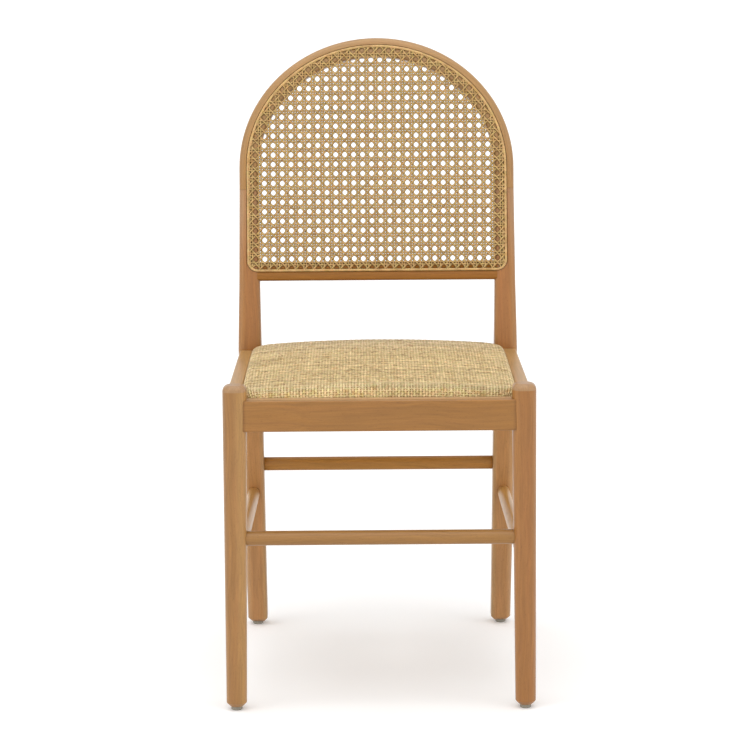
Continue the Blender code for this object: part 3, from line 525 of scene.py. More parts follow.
def sweep(name, stations, width, depth, closed=False):
    """A bar of even section, extruded from place to place and turned to face along its line."""
    first, turn = stations[0]
    bar = plate(name, first, width, depth, (math.pi / 2, 0.0, turn))
    choose(bar, "FACE", lambda face: True)
    rings = [selected_points(bar)]
    for (last, last_turn), (this, this_turn) in zip(stations, stations[1:]):
        bpy.ops.mesh.extrude_region_move(TRANSFORM_OT_translate={"value": this - last})
        turn_selected(this_turn - last_turn, "Z", this)
        rings.append(selected_points(bar))
    if closed:
        ends = set(rings[0]), set(rings[-1])
        choose(bar, "FACE", lambda face: any(set(face.vertices) <= end for end in ends))
        bpy.ops.mesh.delete(type="ONLY_FACE")
    tidy_up(bar)
    return bar


def groove_stations():
    """Once round the groove: bottom, right corner, right side, arch, left side and left corner."""
    stations = groove_corner(1, -1)
    stations += arch_stations(GROOVE_HALF, GROOVE_RISE, GROOVE_ARCH_STEPS)
    stations += groove_corner(-1, 2)
    first, turn = stations[0]
    stations.append((first.copy(), turn + 2 * math.pi))
    return stations


def groove_corner(side, start):
    """A quarter of a circle at the left (-1) or right (1), from a number of right angles on."""
    middle = Vector((side * (GROOVE_HALF - GROOVE_CORNER), GROOVE_LOW_UP + GROOVE_CORNER, 0.0))
    stations = []
    for k in range(GROOVE_CORNER_STEPS + 1):
        angle = math.pi / 2 * (start + k / GROOVE_CORNER_STEPS)
        out = Vector((math.cos(angle), math.sin(angle), 0.0))
        stations.append((middle + GROOVE_CORNER * out, angle))
    return stations


def back_arch():
    base = ARCH_JOINT_UP + JOINT_GAP
    right, left = Vector((POST_X_ARCH, base, 0.0)), Vector((-POST_X_ARCH, base, 0.0))
    round_part = arch_stations(POST_X_ARCH, ARCH_RISE, ARCH_STEPS)
    stations = [(right, 0.0), *round_part, (left, math.pi)]
    arch = sweep("back_arch_finished", stations, ARCH_WIDTH, BACK_DEPTH)
    for outer, radius in ((True, CORNER_OUTER), (False, CORNER_INNER)):
        round_edges(arch, lambda a, b: runs_along_arch(a, b, outer), radius, EDGE_STEPS)
    return arch


def out_of_arch(point):
    """How far a point lies outside the middle line of the arch."""
    if point.y < ARCH_SPRING_UP:
        return abs(point.x) - POST_X_ARCH
    across, rise = point.x / POST_X_ARCH, (point.y - ARCH_SPRING_UP) / ARCH_RISE
    return (math.hypot(across, rise) - 1) * POST_X_ARCH


def runs_along_arch(a, b, outer):
    """True for an edge that follows the arch at its two outer or its two inner corners."""
    first, second = out_of_arch(a), out_of_arch(b)
    if abs(abs(a.z) - BACK_DEPTH / 2) > JOINT_GAP or abs(a.z - b.z) > JOINT_GAP:
        return False
    if abs(first - second) > ARCH_EDGE_SWAY:
        return False
    if abs(abs(first) - ARCH_WIDTH / 2) > ARCH_EDGE_MARGIN:
        return False
    return (first > 0) == outer


def lower_rail():
    out = BACK_DEPTH / 2 - LOWER_RAIL_DEPTH / 2
    middle = Vector((0.0, LOWER_RAIL_UP + LOWER_RAIL_HEIGHT / 2, out))
    size = (2 * POST_X_ARCH, LOWER_RAIL_HEIGHT, LOWER_RAIL_DEPTH)
    return rail("back_lower_rail_finished", middle, size, LOWER_RAIL_EDGE)


def groove_cutter():
    cutter = sweep("groove_cutter", groove_stations(), GROOVE_WIDTH, GROOVE_DEPTH * 2, closed=True)
    moved(cutter, (0.0, 0.0, BACK_DEPTH / 2))
    return cutter


def back_spline():
    """The cord pressed into the groove, with a rounded crown."""
    height = GROOVE_DEPTH + SPLINE_PROUD
    spline = sweep("cane_cord", groove_stations(), SPLINE_WIDTH, height, closed=True)
    crown = lambda a, b: min(a.z, b.z) > height / 2 - JOINT_GAP and along_groove(a, b)
    round_edges(spline, crown, SPLINE_WIDTH * SPLINE_ROUND_SHARE, SPLINE_STEPS)
    moved(spline, (0.0, 0.0, BACK_DEPTH / 2 + SPLINE_PROUD - height / 2))
    stand_up(spline)
    tidy_up(spline, ROUND_BAR_SHARP_ANGLE)
    return spline


def along_groove(a, b):
    return abs(out_of_groove(a.x, a.y) - out_of_groove(b.x, b.y)) < GROOVE_EDGE_SWAY


def out_of_groove(x, up):
    """How far a point of the back lies outside the middle of the groove."""
    if up >= ARCH_SPRING_UP:
        share = math.hypot(x / GROOVE_HALF, (up - ARCH_SPRING_UP) / GROOVE_RISE)
        return (share - 1) * (GROOVE_HALF + GROOVE_RISE) / 2
    past_x = abs(x) - (GROOVE_HALF - GROOVE_CORNER)
    past_up = (GROOVE_LOW_UP + GROOVE_CORNER) - up
    if past_x > 0 and past_up > 0:
        return math.hypot(past_x, past_up) - GROOVE_CORNER
    return max(abs(x) - GROOVE_HALF, GROOVE_LOW_UP - up)


# Cane of the back: one cell of the weave, repeated and trimmed at the groove


def strand(name, start, end, width, thick, steps, lift, sides=4):
    """A flat strand from start to end. Lift gives its height at a share of its length."""
    deselect()
    start, end = Vector(start), Vector(end)
    run = end - start
    bpy.ops.mesh.primitive_cylinder_add(
        vertices=sides, radius=0.5, depth=1.0, end_fill_type="NOTHING"
    )
    piece = new_piece(name)
    choose_edges(piece, lambda a, b: abs(a.z - b.z) > 0.5)
    bpy.ops.mesh.subdivide(number_cuts=steps - 1)
    leave()
    points = piece.data.vertices
    widest = 2 * max(point.co.x for point in points)
    low, high = min(point.co.y for point in points), max(point.co.y for point in points)
    across = Vector((run.y, -run.x, 0.0)).normalized()
    crest = piece.data.attributes.new("crest", "FLOAT", "POINT")
    for index, point in enumerate(points):
        a, b = point.co.x / widest, (point.co.y - low) / (high - low) - 0.5
        share = point.co.z + 0.5
        crest.data[index].value = 1 - 2 * abs(a)
        height = Vector((0.0, 0.0, b * thick + lift(share)))
        point.co = start + run * share + across * (a * width) + height
    return piece


def joined(name, pieces):
    deselect()
    for piece in pieces:
        piece.select_set(True)
    bpy.context.view_layer.objects.active = pieces[0]
    bpy.ops.object.join()
    return new_piece(name)


def repeated(piece, step_x, count_x, step_y, count_y):
    offset = {"use_relative_offset": False, "use_constant_offset": True}
    modify(piece, "ARRAY", count=count_x, constant_offset_displace=(step_x, 0.0, 0.0), **offset)
    modify(piece, "ARRAY", count=count_y, constant_offset_displace=(0.0, step_y, 0.0), **offset)
    edit_all(piece)
    bpy.ops.mesh.remove_doubles(threshold=SAME_STRAND_POINT)
    leave()


def cane_cell():
    """Round one crossing of the pairs: two upright, two level and four half slanting strands."""
    half_x, half_y = CANE_PITCH_X / 2, CANE_PITCH_UP / 2
    pair = (CANE_WIDTH, CANE_THICK, CANE_PAIR_STEPS)
    slanting = (CANE_SLANT_WIDTH, CANE_THICK, CANE_SLANT_STEPS)
    strands = []
    for sign in (-1, 1):
        x = y = sign * CANE_PAIR
        ends = (x, -half_y, 0.0), (x, half_y, 0.0)
        strands.append(strand("upright", *ends, *pair, pair_lift(sign)))
        ends = (-half_x, y, 0.0), (half_x, y, 0.0)
        strands.append(strand("level", *ends, *pair, pair_lift(-sign)))
    for sign in (-1, 1):
        for way in (1, -1):
            ends = (0.0, -half_y * sign, 0.0), (half_x * sign * way, 0.0, 0.0)
            strands.append(strand("slant", *ends, *slanting, slant_lift(way)))
    return joined("open_cane", strands)


def pair_lift(sign):
    """Over one strand of the crossing pair and under the other."""
    def lift(share):
        wave = math.sin(2 * math.pi * share) * min(1, 3 * math.sin(math.pi * share) ** 2)
        return sign * CANE_LIFT * wave
    return lift


def slant_lift(sign):
    """From outside the pairs to inside them, or the other way."""
    return lambda share: sign * 2 * CANE_LIFT * math.cos(math.pi * share)


def back_cane():
    cane = cane_cell()
    repeated(cane, CANE_PITCH_X, CANE_COLUMNS, CANE_PITCH_UP, CANE_ROWS)
    first_x = CANE_FIRST_X - CANE_PITCH_X * (CANE_COLUMNS - 1) / 2
    moved(cane, (first_x, CANE_FIRST_UP - CANE_PITCH_UP, 0.0))
    choose(cane, "FACE", lambda face: out_of_groove(face.center.x, face.center.y) > 0)
    bpy.ops.mesh.delete(type="FACE")
    close_ends()
    half_thick = 2 * CANE_LIFT + CANE_THICK / 2
    for point in cane.data.vertices:
        dip = max(0.0, 1 + out_of_groove(point.co.x, point.co.y) / CANE_DIP)
        height = (point.co.z + half_thick) * (1 - CANE_DIP_SHARE * dip)
        point.co.z = height + BACK_DEPTH / 2 + JOINT_GAP
    stand_up(cane)
    finish_strands(cane)
    return cane


def close_ends():
    """Close the cut ends of the strands that are being edited."""
    bpy.ops.mesh.select_mode(type="VERT")
    bpy.ops.mesh.select_all(action="DESELECT")
    bpy.ops.mesh.select_non_manifold()
    bpy.ops.mesh.fill_holes(sides=STRAND_END_POINTS)
    leave()


def finish_strands(piece):
    edit_all(piece)
    bpy.ops.mesh.normals_make_consistent(inside=False)
    leave()
    bpy.ops.object.shade_smooth()


# Seat rails and stretchers


def side_rail_x(y):
    middle_z = RAIL_TOP_Z - RAIL_HEIGHT / 2
    front = leg_x(middle_z) + leg_half(middle_z) - SIDE_RAIL_SETBACK
    rear = POST_X_SEAT + POST_WIDTH_SEAT / 2 - SIDE_RAIL_SETBACK
    return share_of(front, rear, (y - LEG_Y) / (BEND_Y - LEG_Y)) - SIDE_RAIL_THICK / 2


def cross_rail(name, y, thick, reach):
    middle = (0.0, y, RAIL_TOP_Z - RAIL_HEIGHT / 2)
    return rail(name, middle, (2 * reach, thick, RAIL_HEIGHT), RAIL_EDGE)


def side_rail():
    length = BEND_Y - LEG_Y
    middle = (-side_rail_x(LEG_Y), (LEG_Y + BEND_Y) / 2, RAIL_TOP_Z - RAIL_HEIGHT / 2)
    size = (SIDE_RAIL_THICK, length, RAIL_HEIGHT)
    piece = rail("side_seat_rail_left_finished", middle, size, RAIL_EDGE)
    choose(piece, "VERT", lambda point: point.co.y > 0)
    bpy.ops.transform.translate(value=(side_rail_x(LEG_Y) - side_rail_x(BEND_Y), 0.0, 0.0))
    leave()
    return piece


def stretcher(name, start, end):
    """An oval bar between two places."""
    start, end = Vector(start), Vector(end)
    deselect()
    bpy.ops.mesh.primitive_cylinder_add(vertices=STRETCHER_SIDES, radius=0.5, depth=1.0)
    piece = new_piece(name)
    run = end - start
    turn = run.to_track_quat("Z", "Y")
    up = turn @ Vector((0.0, 1.0, 0.0))
    level = abs(up.z) > 0.5
    size = (STRETCHER_DEPTH, STRETCHER_HEIGHT) if level else (STRETCHER_HEIGHT, STRETCHER_DEPTH)
    piece.scale = (size[0], size[1], run.length)
    piece.rotation_euler = turn.to_euler()
    piece.location = (start + end) / 2
    settle(piece)
    tidy_up(piece, ROUND_BAR_SHARP_ANGLE)
    return piece


def post_y(z):
    return share_of(POST_FOOT_Y, BEND_Y, z / BEND_Z)


def post_x_low(z):
    return share_of(POST_X_FOOT, POST_X_SEAT, z / BEND_Z)


def build_frame():
    """All beech pieces, trimmed to one another."""
    legs = {"left": front_leg()}
    posts = {"left": rear_post()}
    legs["right"] = mirrored(legs["left"], "front_leg_right_finished")
    posts["right"] = mirrored(posts["left"], "rear_post_right_finished")
    arch = back_arch()
    low = lower_rail()
    cutter = groove_cutter()
    for piece in (arch, low, cutter):
        stand_up(piece)
    trim(low, *posts.values())
    for piece in (arch, low, *posts.values()):
        subtract(piece, cutter)
    remove(cutter)
    front_y = FRONT_RAIL_SETBACK + FRONT_RAIL_THICK / 2 - BOX_MIDDLE_Y
    front = cross_rail("front_seat_rail_finished", front_y, FRONT_RAIL_THICK, LEG_X_TOP)
    rear = cross_rail("rear_seat_rail_finished", BEND_Y, REAR_RAIL_THICK, POST_X_SEAT)
    side = side_rail()
    trim(front, *legs.values())
    trim(rear, *posts.values())
    trim(side, legs["left"], posts["left"])
    x, z = leg_x(FRONT_STRETCHER_Z), FRONT_STRETCHER_Z
    front_bar = stretcher("front_stretcher_finished", (-x, LEG_Y, z), (x, LEG_Y, z))
    x, y, z = post_x_low(REAR_STRETCHER_Z), post_y(REAR_STRETCHER_Z), REAR_STRETCHER_Z
    rear_bar = stretcher("rear_stretcher_finished", (-x, y, z), (x, y, z))
    z = SIDE_STRETCHER_Z
    start = (-leg_x(z) + SIDE_STRETCHER_INSET, LEG_Y, z)
    side_bar = stretcher("side_stretcher_left_finished", start, (-post_x_low(z), post_y(z), z))
    trim(front_bar, *legs.values())
    trim(rear_bar, *posts.values())
    trim(side_bar, legs["left"], posts["left"])
    other_rail = mirrored(side, "side_seat_rail_right_finished")
    other_bar = mirrored(side_bar, "side_stretcher_right_finished")
    upright = [*legs.values(), *posts.values()]
    level = [front, rear, side, other_rail, front_bar, rear_bar, side_bar, other_bar, low]
    return upright, level, arch


# Woven cover of the seat: a flat sheet of strands laid over the crowned and rolled form


def seat_half(y):
    share = (y - SEAT_FRONT_Y) / (SEAT_REAR_Y - SEAT_FRONT_Y)
    return share_of(SEAT_HALF_FRONT, SEAT_HALF_REAR, share)


def seat_crown(x, y):
    along = min(1, abs((y - SEAT_MIDDLE_Y) / (SEAT_REAR_Y - SEAT_MIDDLE_Y)))
    across = min(1, abs(x / seat_half(y)))
    return SEAT_CROWN_ACROSS * (1 - across ** 2) + SEAT_CROWN_ALONG * (1 - along ** 2)


def seat_core(x, y):
    """Nearest point to (x, y) of the part that the rounded corners go round, and their radius."""
    low, high = SEAT_FRONT_Y + SEAT_CORNER_FRONT, SEAT_REAR_Y - SEAT_CORNER_REAR
    near_y = min(max(y, low), high)
    share = (near_y - low) / (high - low)
    radius = share_of(SEAT_CORNER_FRONT, SEAT_CORNER_REAR, share)
    half = seat_half(near_y) - radius
    return Vector((min(max(x, -half), half), near_y)), radius


def lay_on_seat(x, y, height):
    """Where a point of the flat sheet comes to lie, or None where the sheet is cut away."""
    core, radius = seat_core(x, y)
    way = Vector((x, y)) - core
    distance = way.length
    start = radius - SEAT_ROLL
    if distance <= start:
        return Vector((x, y, SEAT_EDGE_Z + seat_crown(x, y) + height))
    way = way / distance
    beyond = distance - start
    quarter = SEAT_ROLL * math.pi / 2
    rim = core + way * radius
    rim_crown = seat_crown(rim.x, rim.y)
    roll_z = SEAT_EDGE_Z + rim_crown - SEAT_ROLL
    side = roll_z - (SEAT_UNDER_Z + SEAT_STRAND_DEEP)
    if beyond < quarter:
        angle = beyond / SEAT_ROLL
        reach = start + (SEAT_ROLL + height) * math.sin(angle)
        crown = seat_crown(*(core + way * min(reach, radius))) - rim_crown
        z = roll_z + (SEAT_ROLL + height + crown) * math.cos(angle)
        return Vector((*(core + way * reach), z))
    if beyond < quarter + side:
        return Vector((*(core + way * (radius + height)), roll_z - (beyond - quarter)))
    under = beyond - quarter - side
    if under > SEAT_TURN_IN:
        return None
    return Vector((*(core + way * (radius + height - under)), SEAT_UNDER_Z - height))


def uneven(x, y, seed):
    """A smooth, irregular value between -1 and 1."""
    slow_x, slow_y, fast_y, fast_x = STRAY_WAVES
    total = math.sin(x * slow_x + seed * 1.7 + 1.9 * math.sin(y * slow_y + seed))
    total += math.sin(y * fast_y - seed * 2.3 + 1.4 * math.sin(x * fast_x - seed * 0.7))
    return total / 2


def drape(piece, deep):
    """Lay a flat sheet over the seat, deep under its outside."""
    mesh = piece.data
    gone = set()
    places = []
    for point in mesh.vertices:
        x, y, z = point.co
        stray_x = SEAT_STRAY_X * uneven(y, 0.0, round(x / SEAT_PITCH) * COLUMN_SEED)
        stray_y = SEAT_STRAY_Y * uneven(x, 0.0, round(y / SEAT_ROW) * ROW_SEED)
        place = lay_on_seat(x + stray_x, y + stray_y, z - deep)
        if place is None:
            gone.add(point.index)
            place = point.co.copy()
        places.append(place)
    for point, place in zip(mesh.vertices, places):
        point.co = place
    choose(piece, "VERT", lambda point: point.index in gone)
    bpy.ops.mesh.delete(type="VERT")


def seat_sheet(name, lengthwise):
    """Parallel strands of a plain weave, each over one and under the next of the crossing set."""
    strands = []
    for sign, offset in ((1, -0.5), (-1, 0.5)):
        if lengthwise:
            x = offset * SEAT_PITCH
            ends = (x, -SEAT_ROW, 0.0), (x, SEAT_ROW, 0.0)
            width, wave, raised = SEAT_STRAND_WIDTH, math.cos, SEAT_RAISED
        else:
            y = offset * SEAT_ROW
            ends = (-SEAT_PITCH, y, 0.0), (SEAT_PITCH, y, 0.0)
            sign, width, wave, raised = -sign, SEAT_ROW_WIDTH, math.sin, 0.0
        size = (width, SEAT_STRAND_THICK, SEAT_STRAND_STEPS)
        lift = weave_lift(sign, wave, raised)
        strands.append(strand("seat_strand", *ends, *size, lift, SEAT_STRAND_SIDES))
    sheet = joined(name, strands)
    columns = round(FLAT_SEAT_WIDTH / SEAT_PITCH / 2)
    rows = round(FLAT_SEAT_LENGTH / SEAT_ROW / 2)
    repeated(sheet, 2 * SEAT_PITCH, columns, 2 * SEAT_ROW, rows)
    moved(sheet, (-SEAT_PITCH * (columns - 1), SEAT_MIDDLE_Y - SEAT_ROW * (rows - 1), 0.0))
    drape(sheet, SEAT_STRAND_DEEP)
    close_ends()
    finish_strands(sheet)
    return sheet


def weave_lift(sign, wave, raised):
    """Once over and once under along the strand."""
    return lambda share: sign * SEAT_LIFT * wave(2 * math.pi * share) + raised


def seat_backing():
    """The cloth right under the strands, seen only through the weave."""
    deselect()
    across, along = SEAT_BACKING_CELLS
    middle = (0.0, SEAT_MIDDLE_Y, 0.0)
    bpy.ops.mesh.primitive_grid_add(
        x_subdivisions=across, y_subdivisions=along, size=1.0, location=middle
    )
    sheet = new_piece("seat_backing")
    sheet.scale = (FLAT_SEAT_WIDTH, FLAT_SEAT_LENGTH, 1.0)
    settle(sheet)
    drape(sheet, SEAT_BACKING_DEEP)
    leave()
    modify(sheet, "SOLIDIFY", thickness=SEAT_BACKING_THICK, offset=-1.0)
    finish_strands(sheet)
    return sheet


# Finishes. A noise has three scales, then its detail and its roughness. On wood the scales run
# along the grain, across it and through the plank, and on cane along x, y and z.

WHITE = (1.0, 1.0, 1.0, 1.0)
FINE_BUMP_DEPTH = 0.0002

WOOD_ROUGHNESS = 0.40
WOOD_SHINE = 0.62
WOOD_BUMP = 0.10
COAT = 0.40
THIN_COAT = 0.20
COAT_ROUGHNESS = 0.32
ROSY = (1.05, 0.99, 1.00)
GOLDEN = (0.99, 0.96, 0.86)
GRAIN_WAVES = 9.0
GRAIN_SWAY = (0.0, 0.016, 0.016)
WOOD_TONE = ((5.0, 95.0, 95.0), 3.0)
WOOD_STREAK = ((14.0, 420.0, 420.0), 4.0, 0.6)
WOOD_BAND = ((3.0, 130.0, 130.0),)
WOOD_FLECK = ((260.0, 1500.0, 1500.0), 1.0)
FLECK_AMOUNT = 0.8

CANE_ROUGHNESS = 0.42
CANE_SHINE = 0.40
CANE_CAST = ((230.0, 230.0, 230.0), 1.0)
CAST_AMOUNT = 0.8
# Noise of the cane's blotches: stains, which on the seat also lay painted shade
CANE_STAIN_AND_SHADE = ((75.0, 150.0, 100.0), 3.0, 0.6)
LINES_PER_TONE = 6
LINE_AMOUNT = 0.7
# Brown of the painted shade along the strands' edges
EDGE_SHADE_TINT = (1.0, 0.82, 0.62)

SEAT_BAND = ((4.0, 100.0, 5.0), 2.0, 0.7)
SEAT_SHADE_DASH = ((150.0, 210.0, 60.0), 1.0)
SEAT_DULL_REACH = 0.1300
# Reach of the painted light where the seat's cane turns down: down its sides, back from its front,
# along its front, and how much it weakens the stains and the painted shade there
SEAT_SIDE_FROM = 0.0005
SEAT_SIDE_TO = 0.0080
SEAT_FRONT_FROM = 0.0240
SEAT_FRONT_TO = 0.0040
SEAT_HIGHLIGHT_RIM = 0.0016
SEAT_EVENED = 0.6

PLAIN_DETAIL = 4.0
PLAIN_MIX = 0.6
PLAIN_BUMP = 0.15


def shader_nodes(name):
    material = bpy.data.materials.new(name)
    material.use_nodes = True
    return material, material.node_tree, material.node_tree.nodes["Principled BSDF"]


def set_inputs(node, values):
    """Values for inputs, by their names."""
    for name, value in values.items():
        node.inputs[name].default_value = value


def add_node(tree, kind, **values):
    """A node with values for its inputs or its own settings."""
    node = tree.nodes.new(kind)
    for key, value in values.items():
        if key in node.inputs.keys():
            node.inputs[key].default_value = value
        else:
            setattr(node, key, value)
    return node


def object_place(tree):
    return tree.nodes.new("ShaderNodeTexCoord").outputs["Object"]


def stored(tree, name, output):
    """A value that is stored at the points of the mesh."""
    return add_node(tree, "ShaderNodeAttribute", attribute_name=name).outputs[output]


def noise_on(tree, vector, scale, detail=2.0, rough=0.5):
    """Noise stretched by the three scales."""
    mapping = add_node(tree, "ShaderNodeMapping", Scale=scale)
    tree.links.new(vector, mapping.inputs["Vector"])
    noise = add_node(tree, "ShaderNodeTexNoise", Scale=1.0, Detail=detail, Roughness=rough)
    tree.links.new(mapping.outputs["Vector"], noise.inputs["Vector"])
    return noise.outputs["Fac"]


def calculated(tree, operation, *values, kind="ShaderNodeMath"):
    """The result of a sum on values and other results."""
    node = add_node(tree, kind, operation=operation)
    for number, value in enumerate(values):
        if isinstance(value, (float, tuple)):
            node.inputs[number].default_value = value
        else:
            tree.links.new(value, node.inputs[number])
    return node.outputs[0]


def share_along(tree, value, start, end):
    """0 before the start, 1 past the end, and the share of the way between them."""
    node = add_node(tree, "ShaderNodeMapRange")
    set_inputs(node, {"From Min": start, "From Max": end})
    tree.links.new(value, node.inputs["Value"])
    return node.outputs["Result"]


def ramp(tree, value, stops):
    """Colours between stops; a bare number is a grey."""
    stops = [(at, grey(tint) if isinstance(tint, float) else (*tint[:3], 1.0)) for at, tint in stops]
    node = tree.nodes.new("ShaderNodeValToRGB")
    first, last = node.color_ramp.elements
    first.position, first.color = stops[0]
    last.position, last.color = stops[-1]
    for position, colour in stops[1:-1]:
        node.color_ramp.elements.new(position).color = colour
    tree.links.new(value, node.inputs["Fac"])
    return node.outputs["Color"]


def shaded(tree, base, value, stops, amount=1.0):
    """The base multiplied by the colours of a ramp over a value."""
    node = tree.nodes.new("ShaderNodeMix")
    node.data_type = "RGBA"
    node.blend_type = "MULTIPLY"
    if isinstance(amount, float):
        node.inputs["Factor"].default_value = amount
    else:
        tree.links.new(amount, node.inputs["Factor"])
    tree.links.new(base, node.inputs["A"])
    tree.links.new(ramp(tree, value, stops), node.inputs["B"])
    return node.outputs["Result"]


def tinted(colour, factor):
    return (colour[0] * factor[0], colour[1] * factor[1], colour[2] * factor[2], 1.0)


def dimmed(colour, factor):
    return tinted(colour, (factor, factor, factor))


def grey(value):
    return (value, value, value, 1.0)


def swayed(tree, grain):
    """The grain's place with slow waves across it."""
    wave = add_node(tree, "ShaderNodeTexNoise", Scale=GRAIN_WAVES, Detail=1.0)
    tree.links.new(grain, wave.inputs["Vector"])
    vectors = {"kind": "ShaderNodeVectorMath"}
    away = calculated(tree, "SUBTRACT", wave.outputs["Color"], (0.5, 0.5, 0.5), **vectors)
    away = calculated(tree, "MULTIPLY", away, GRAIN_SWAY, **vectors)
    return calculated(tree, "ADD", grain, away, **vectors)


def raise_surface(tree, shader, height, strength):
    bump = add_node(tree, "ShaderNodeBump", Strength=strength, Distance=FINE_BUMP_DEPTH)
    tree.links.new(height, bump.inputs["Height"])
    tree.links.new(bump.outputs["Normal"], shader.inputs["Normal"])


def beech(name, colour, by_place=(), coat=COAT, rosy=ROSY, golden=GOLDEN):
    """Steamed beech under satin lacquer: even tone, fine streaks, short dark flecks along it, and
    tints by place, mostly painted light and shade.
    """
    material, tree, shader = shader_nodes(name)
    grain = swayed(tree, stored(tree, "grain", "Vector"))
    parts = tree.nodes.new("ShaderNodeSeparateXYZ")
    tree.links.new(object_place(tree), parts.inputs[0])
    tone = noise_on(tree, grain, *WOOD_TONE)
    base = ramp(tree, tone, (
        (0.25, tinted(colour, golden)), (0.50, colour), (0.80, tinted(colour, rosy)),
    ))
    streak = noise_on(tree, grain, *WOOD_STREAK)
    base = shaded(tree, base, streak, ((0.30, 0.84), (0.68, 1.08)))
    band = noise_on(tree, grain, *WOOD_BAND)
    base = shaded(tree, base, band, ((0.32, 0.93), (0.68, 1.05)))
    # Tints by the distance along an axis: painted light and shade on the legs, posts and front rail;
    # on the arch, darker and warmer low down.
    for axis, stops in by_place:
        low, high = stops[0][0], stops[-1][0]
        distance = calculated(tree, "ABSOLUTE", parts.outputs[axis])
        share = share_along(tree, distance, low, high)
        stops = [((at - low) / (high - low), tint) for at, tint in stops]
        base = shaded(tree, base, share, stops)
    fleck = noise_on(tree, grain, *WOOD_FLECK)
    base = shaded(tree, base, fleck, ((0.27, 0.70), (0.37, 1.0)), FLECK_AMOUNT)
    tree.links.new(base, shader.inputs["Base Color"])
    set_inputs(shader, {
        "Roughness": WOOD_ROUGHNESS,
        "Specular IOR Level": WOOD_SHINE * coat,
        "Coat Weight": coat,
        "Coat Roughness": COAT_ROUGHNESS,
    })
    raise_surface(tree, shader, streak, WOOD_BUMP)
    return material


def cane(name, colour, long_scale, edge_shade, edge_share=0.5):
    """Peeled cane: tone changes from strand to strand, fine lines along it, pink and green casts,
    yellowish blotches, and painted shade along the edges of each strand with a painted highlight
    along its crest.
    """
    material, tree, shader = shader_nodes(name)
    place = object_place(tree)
    tone = noise_on(tree, place, long_scale)
    base = ramp(tree, tone, (
        (0.30, tinted(colour, (0.78, 0.74, 0.66))),
        (0.48, tinted(colour, (0.98, 0.97, 0.94))),
        (0.68, dimmed(colour, 1.16)),
    ))
    cast = noise_on(tree, place, *CANE_CAST)
    casts = (0.36, (1.05, 0.93, 0.90)), (0.50, 1.0), (0.64, (0.96, 1.02, 0.84))
    base = shaded(tree, base, cast, casts, CAST_AMOUNT)
    line = noise_on(tree, place, tuple(LINES_PER_TONE * value for value in long_scale))
    base = shaded(tree, base, line, ((0.35, 0.86), (0.65, 1.06)), LINE_AMOUNT)
    # Painted shade, brown, along the strands' edges, and a painted highlight along their crests.
    edge = dimmed(EDGE_SHADE_TINT, edge_shade)
    crest = stored(tree, "crest", "Fac")
    base = shaded(tree, base, crest, ((0.0, edge), (edge_share, 1.0), (1.0, 1.10)))
    stain_and_shade = noise_on(tree, place, *CANE_STAIN_AND_SHADE)
    base = shaded(tree, base, stain_and_shade, ((0.33, (1.0, 0.90, 0.75)), (0.46, 1.0)))
    tree.links.new(base, shader.inputs["Base Color"])
    set_inputs(shader, {"Roughness": CANE_ROUGHNESS, "Specular IOR Level": CANE_SHINE})
    return material


def seat_rows_and_painted_light(material):
    """On the seat: uneven rows, stains and painted shade in blotches and short marks, a duller rear,
    and painted light where the cane turns down over its edges.
    """
    tree = material.node_tree
    shader = tree.nodes["Principled BSDF"]
    base = shader.inputs["Base Color"].links[0].from_socket
    place = object_place(tree)
    parts = tree.nodes.new("ShaderNodeSeparateXYZ")
    tree.links.new(place, parts.inputs[0])
    y, z = parts.outputs["Y"], parts.outputs["Z"]
    band = noise_on(tree, place, *SEAT_BAND)
    base = shaded(tree, base, band, ((0.38, (0.84, 0.82, 0.77)), (0.62, 1.14)))
    rear = share_along(tree, y, SEAT_REAR_Y - SEAT_DULL_REACH, SEAT_REAR_Y)
    dull = (0.0, 1.0), (0.93, (0.885, 0.895, 1.00)), (1.0, (0.84, 0.87, 1.04))
    base = shaded(tree, base, rear, dull)
    # Where the cane turns down at the sides and the front, painted light.
    side = share_along(tree, z, SEAT_EDGE_Z - SEAT_SIDE_FROM, SEAT_EDGE_Z - SEAT_SIDE_TO)
    front = share_along(tree, y, SEAT_FRONT_Y + SEAT_FRONT_FROM, SEAT_FRONT_Y + SEAT_FRONT_TO)
    turned = calculated(tree, "MAXIMUM", front, side)
    evened = calculated(tree, "MULTIPLY", SEAT_EVENED, turned)
    flat = calculated(tree, "SUBTRACT", 1.0, evened)
    # Blotches, partly stains and partly painted shade of the weave, weaker where the cane turns down.
    stain_and_shade = noise_on(tree, place, *CANE_STAIN_AND_SHADE)
    base = shaded(tree, base, stain_and_shade, ((0.33, (0.72, 0.67, 0.58)), (0.46, 1.0)), flat)
    # Short marks: the dark ones are painted shade of the weave's rows laid at random, the few pale
    # ones painted light; weaker where the cane turns down.
    shade_dash = noise_on(tree, place, *SEAT_SHADE_DASH)
    shade_dashes = (0.31, (0.55, 0.49, 0.40)), (0.41, 0.96), (0.54, 1.0), (0.66, 1.16)
    base = shaded(tree, base, shade_dash, shade_dashes, flat)
    # Painted light where the cane turns down: the painted shade at its strands' edges lifted and
    # their crests dimmed.
    even = (0.0, (1.54, 1.61, 1.66)), (0.5, (0.98, 1.03, 1.08)), (1.0, (0.79, 0.82, 0.85))
    base = shaded(tree, base, stored(tree, "crest", "Fac"), even, turned)
    # A pale painted highlight along the front edge and down the sides.
    rim = share_along(tree, y, SEAT_FRONT_Y + SEAT_HIGHLIGHT_RIM, SEAT_FRONT_Y)
    edge = calculated(tree, "MAXIMUM", rim, side)
    base = shaded(tree, base, edge, ((0.0, 1.0), (1.0, (1.60, 1.60, 1.58))))
    tree.links.new(base, shader.inputs["Base Color"])


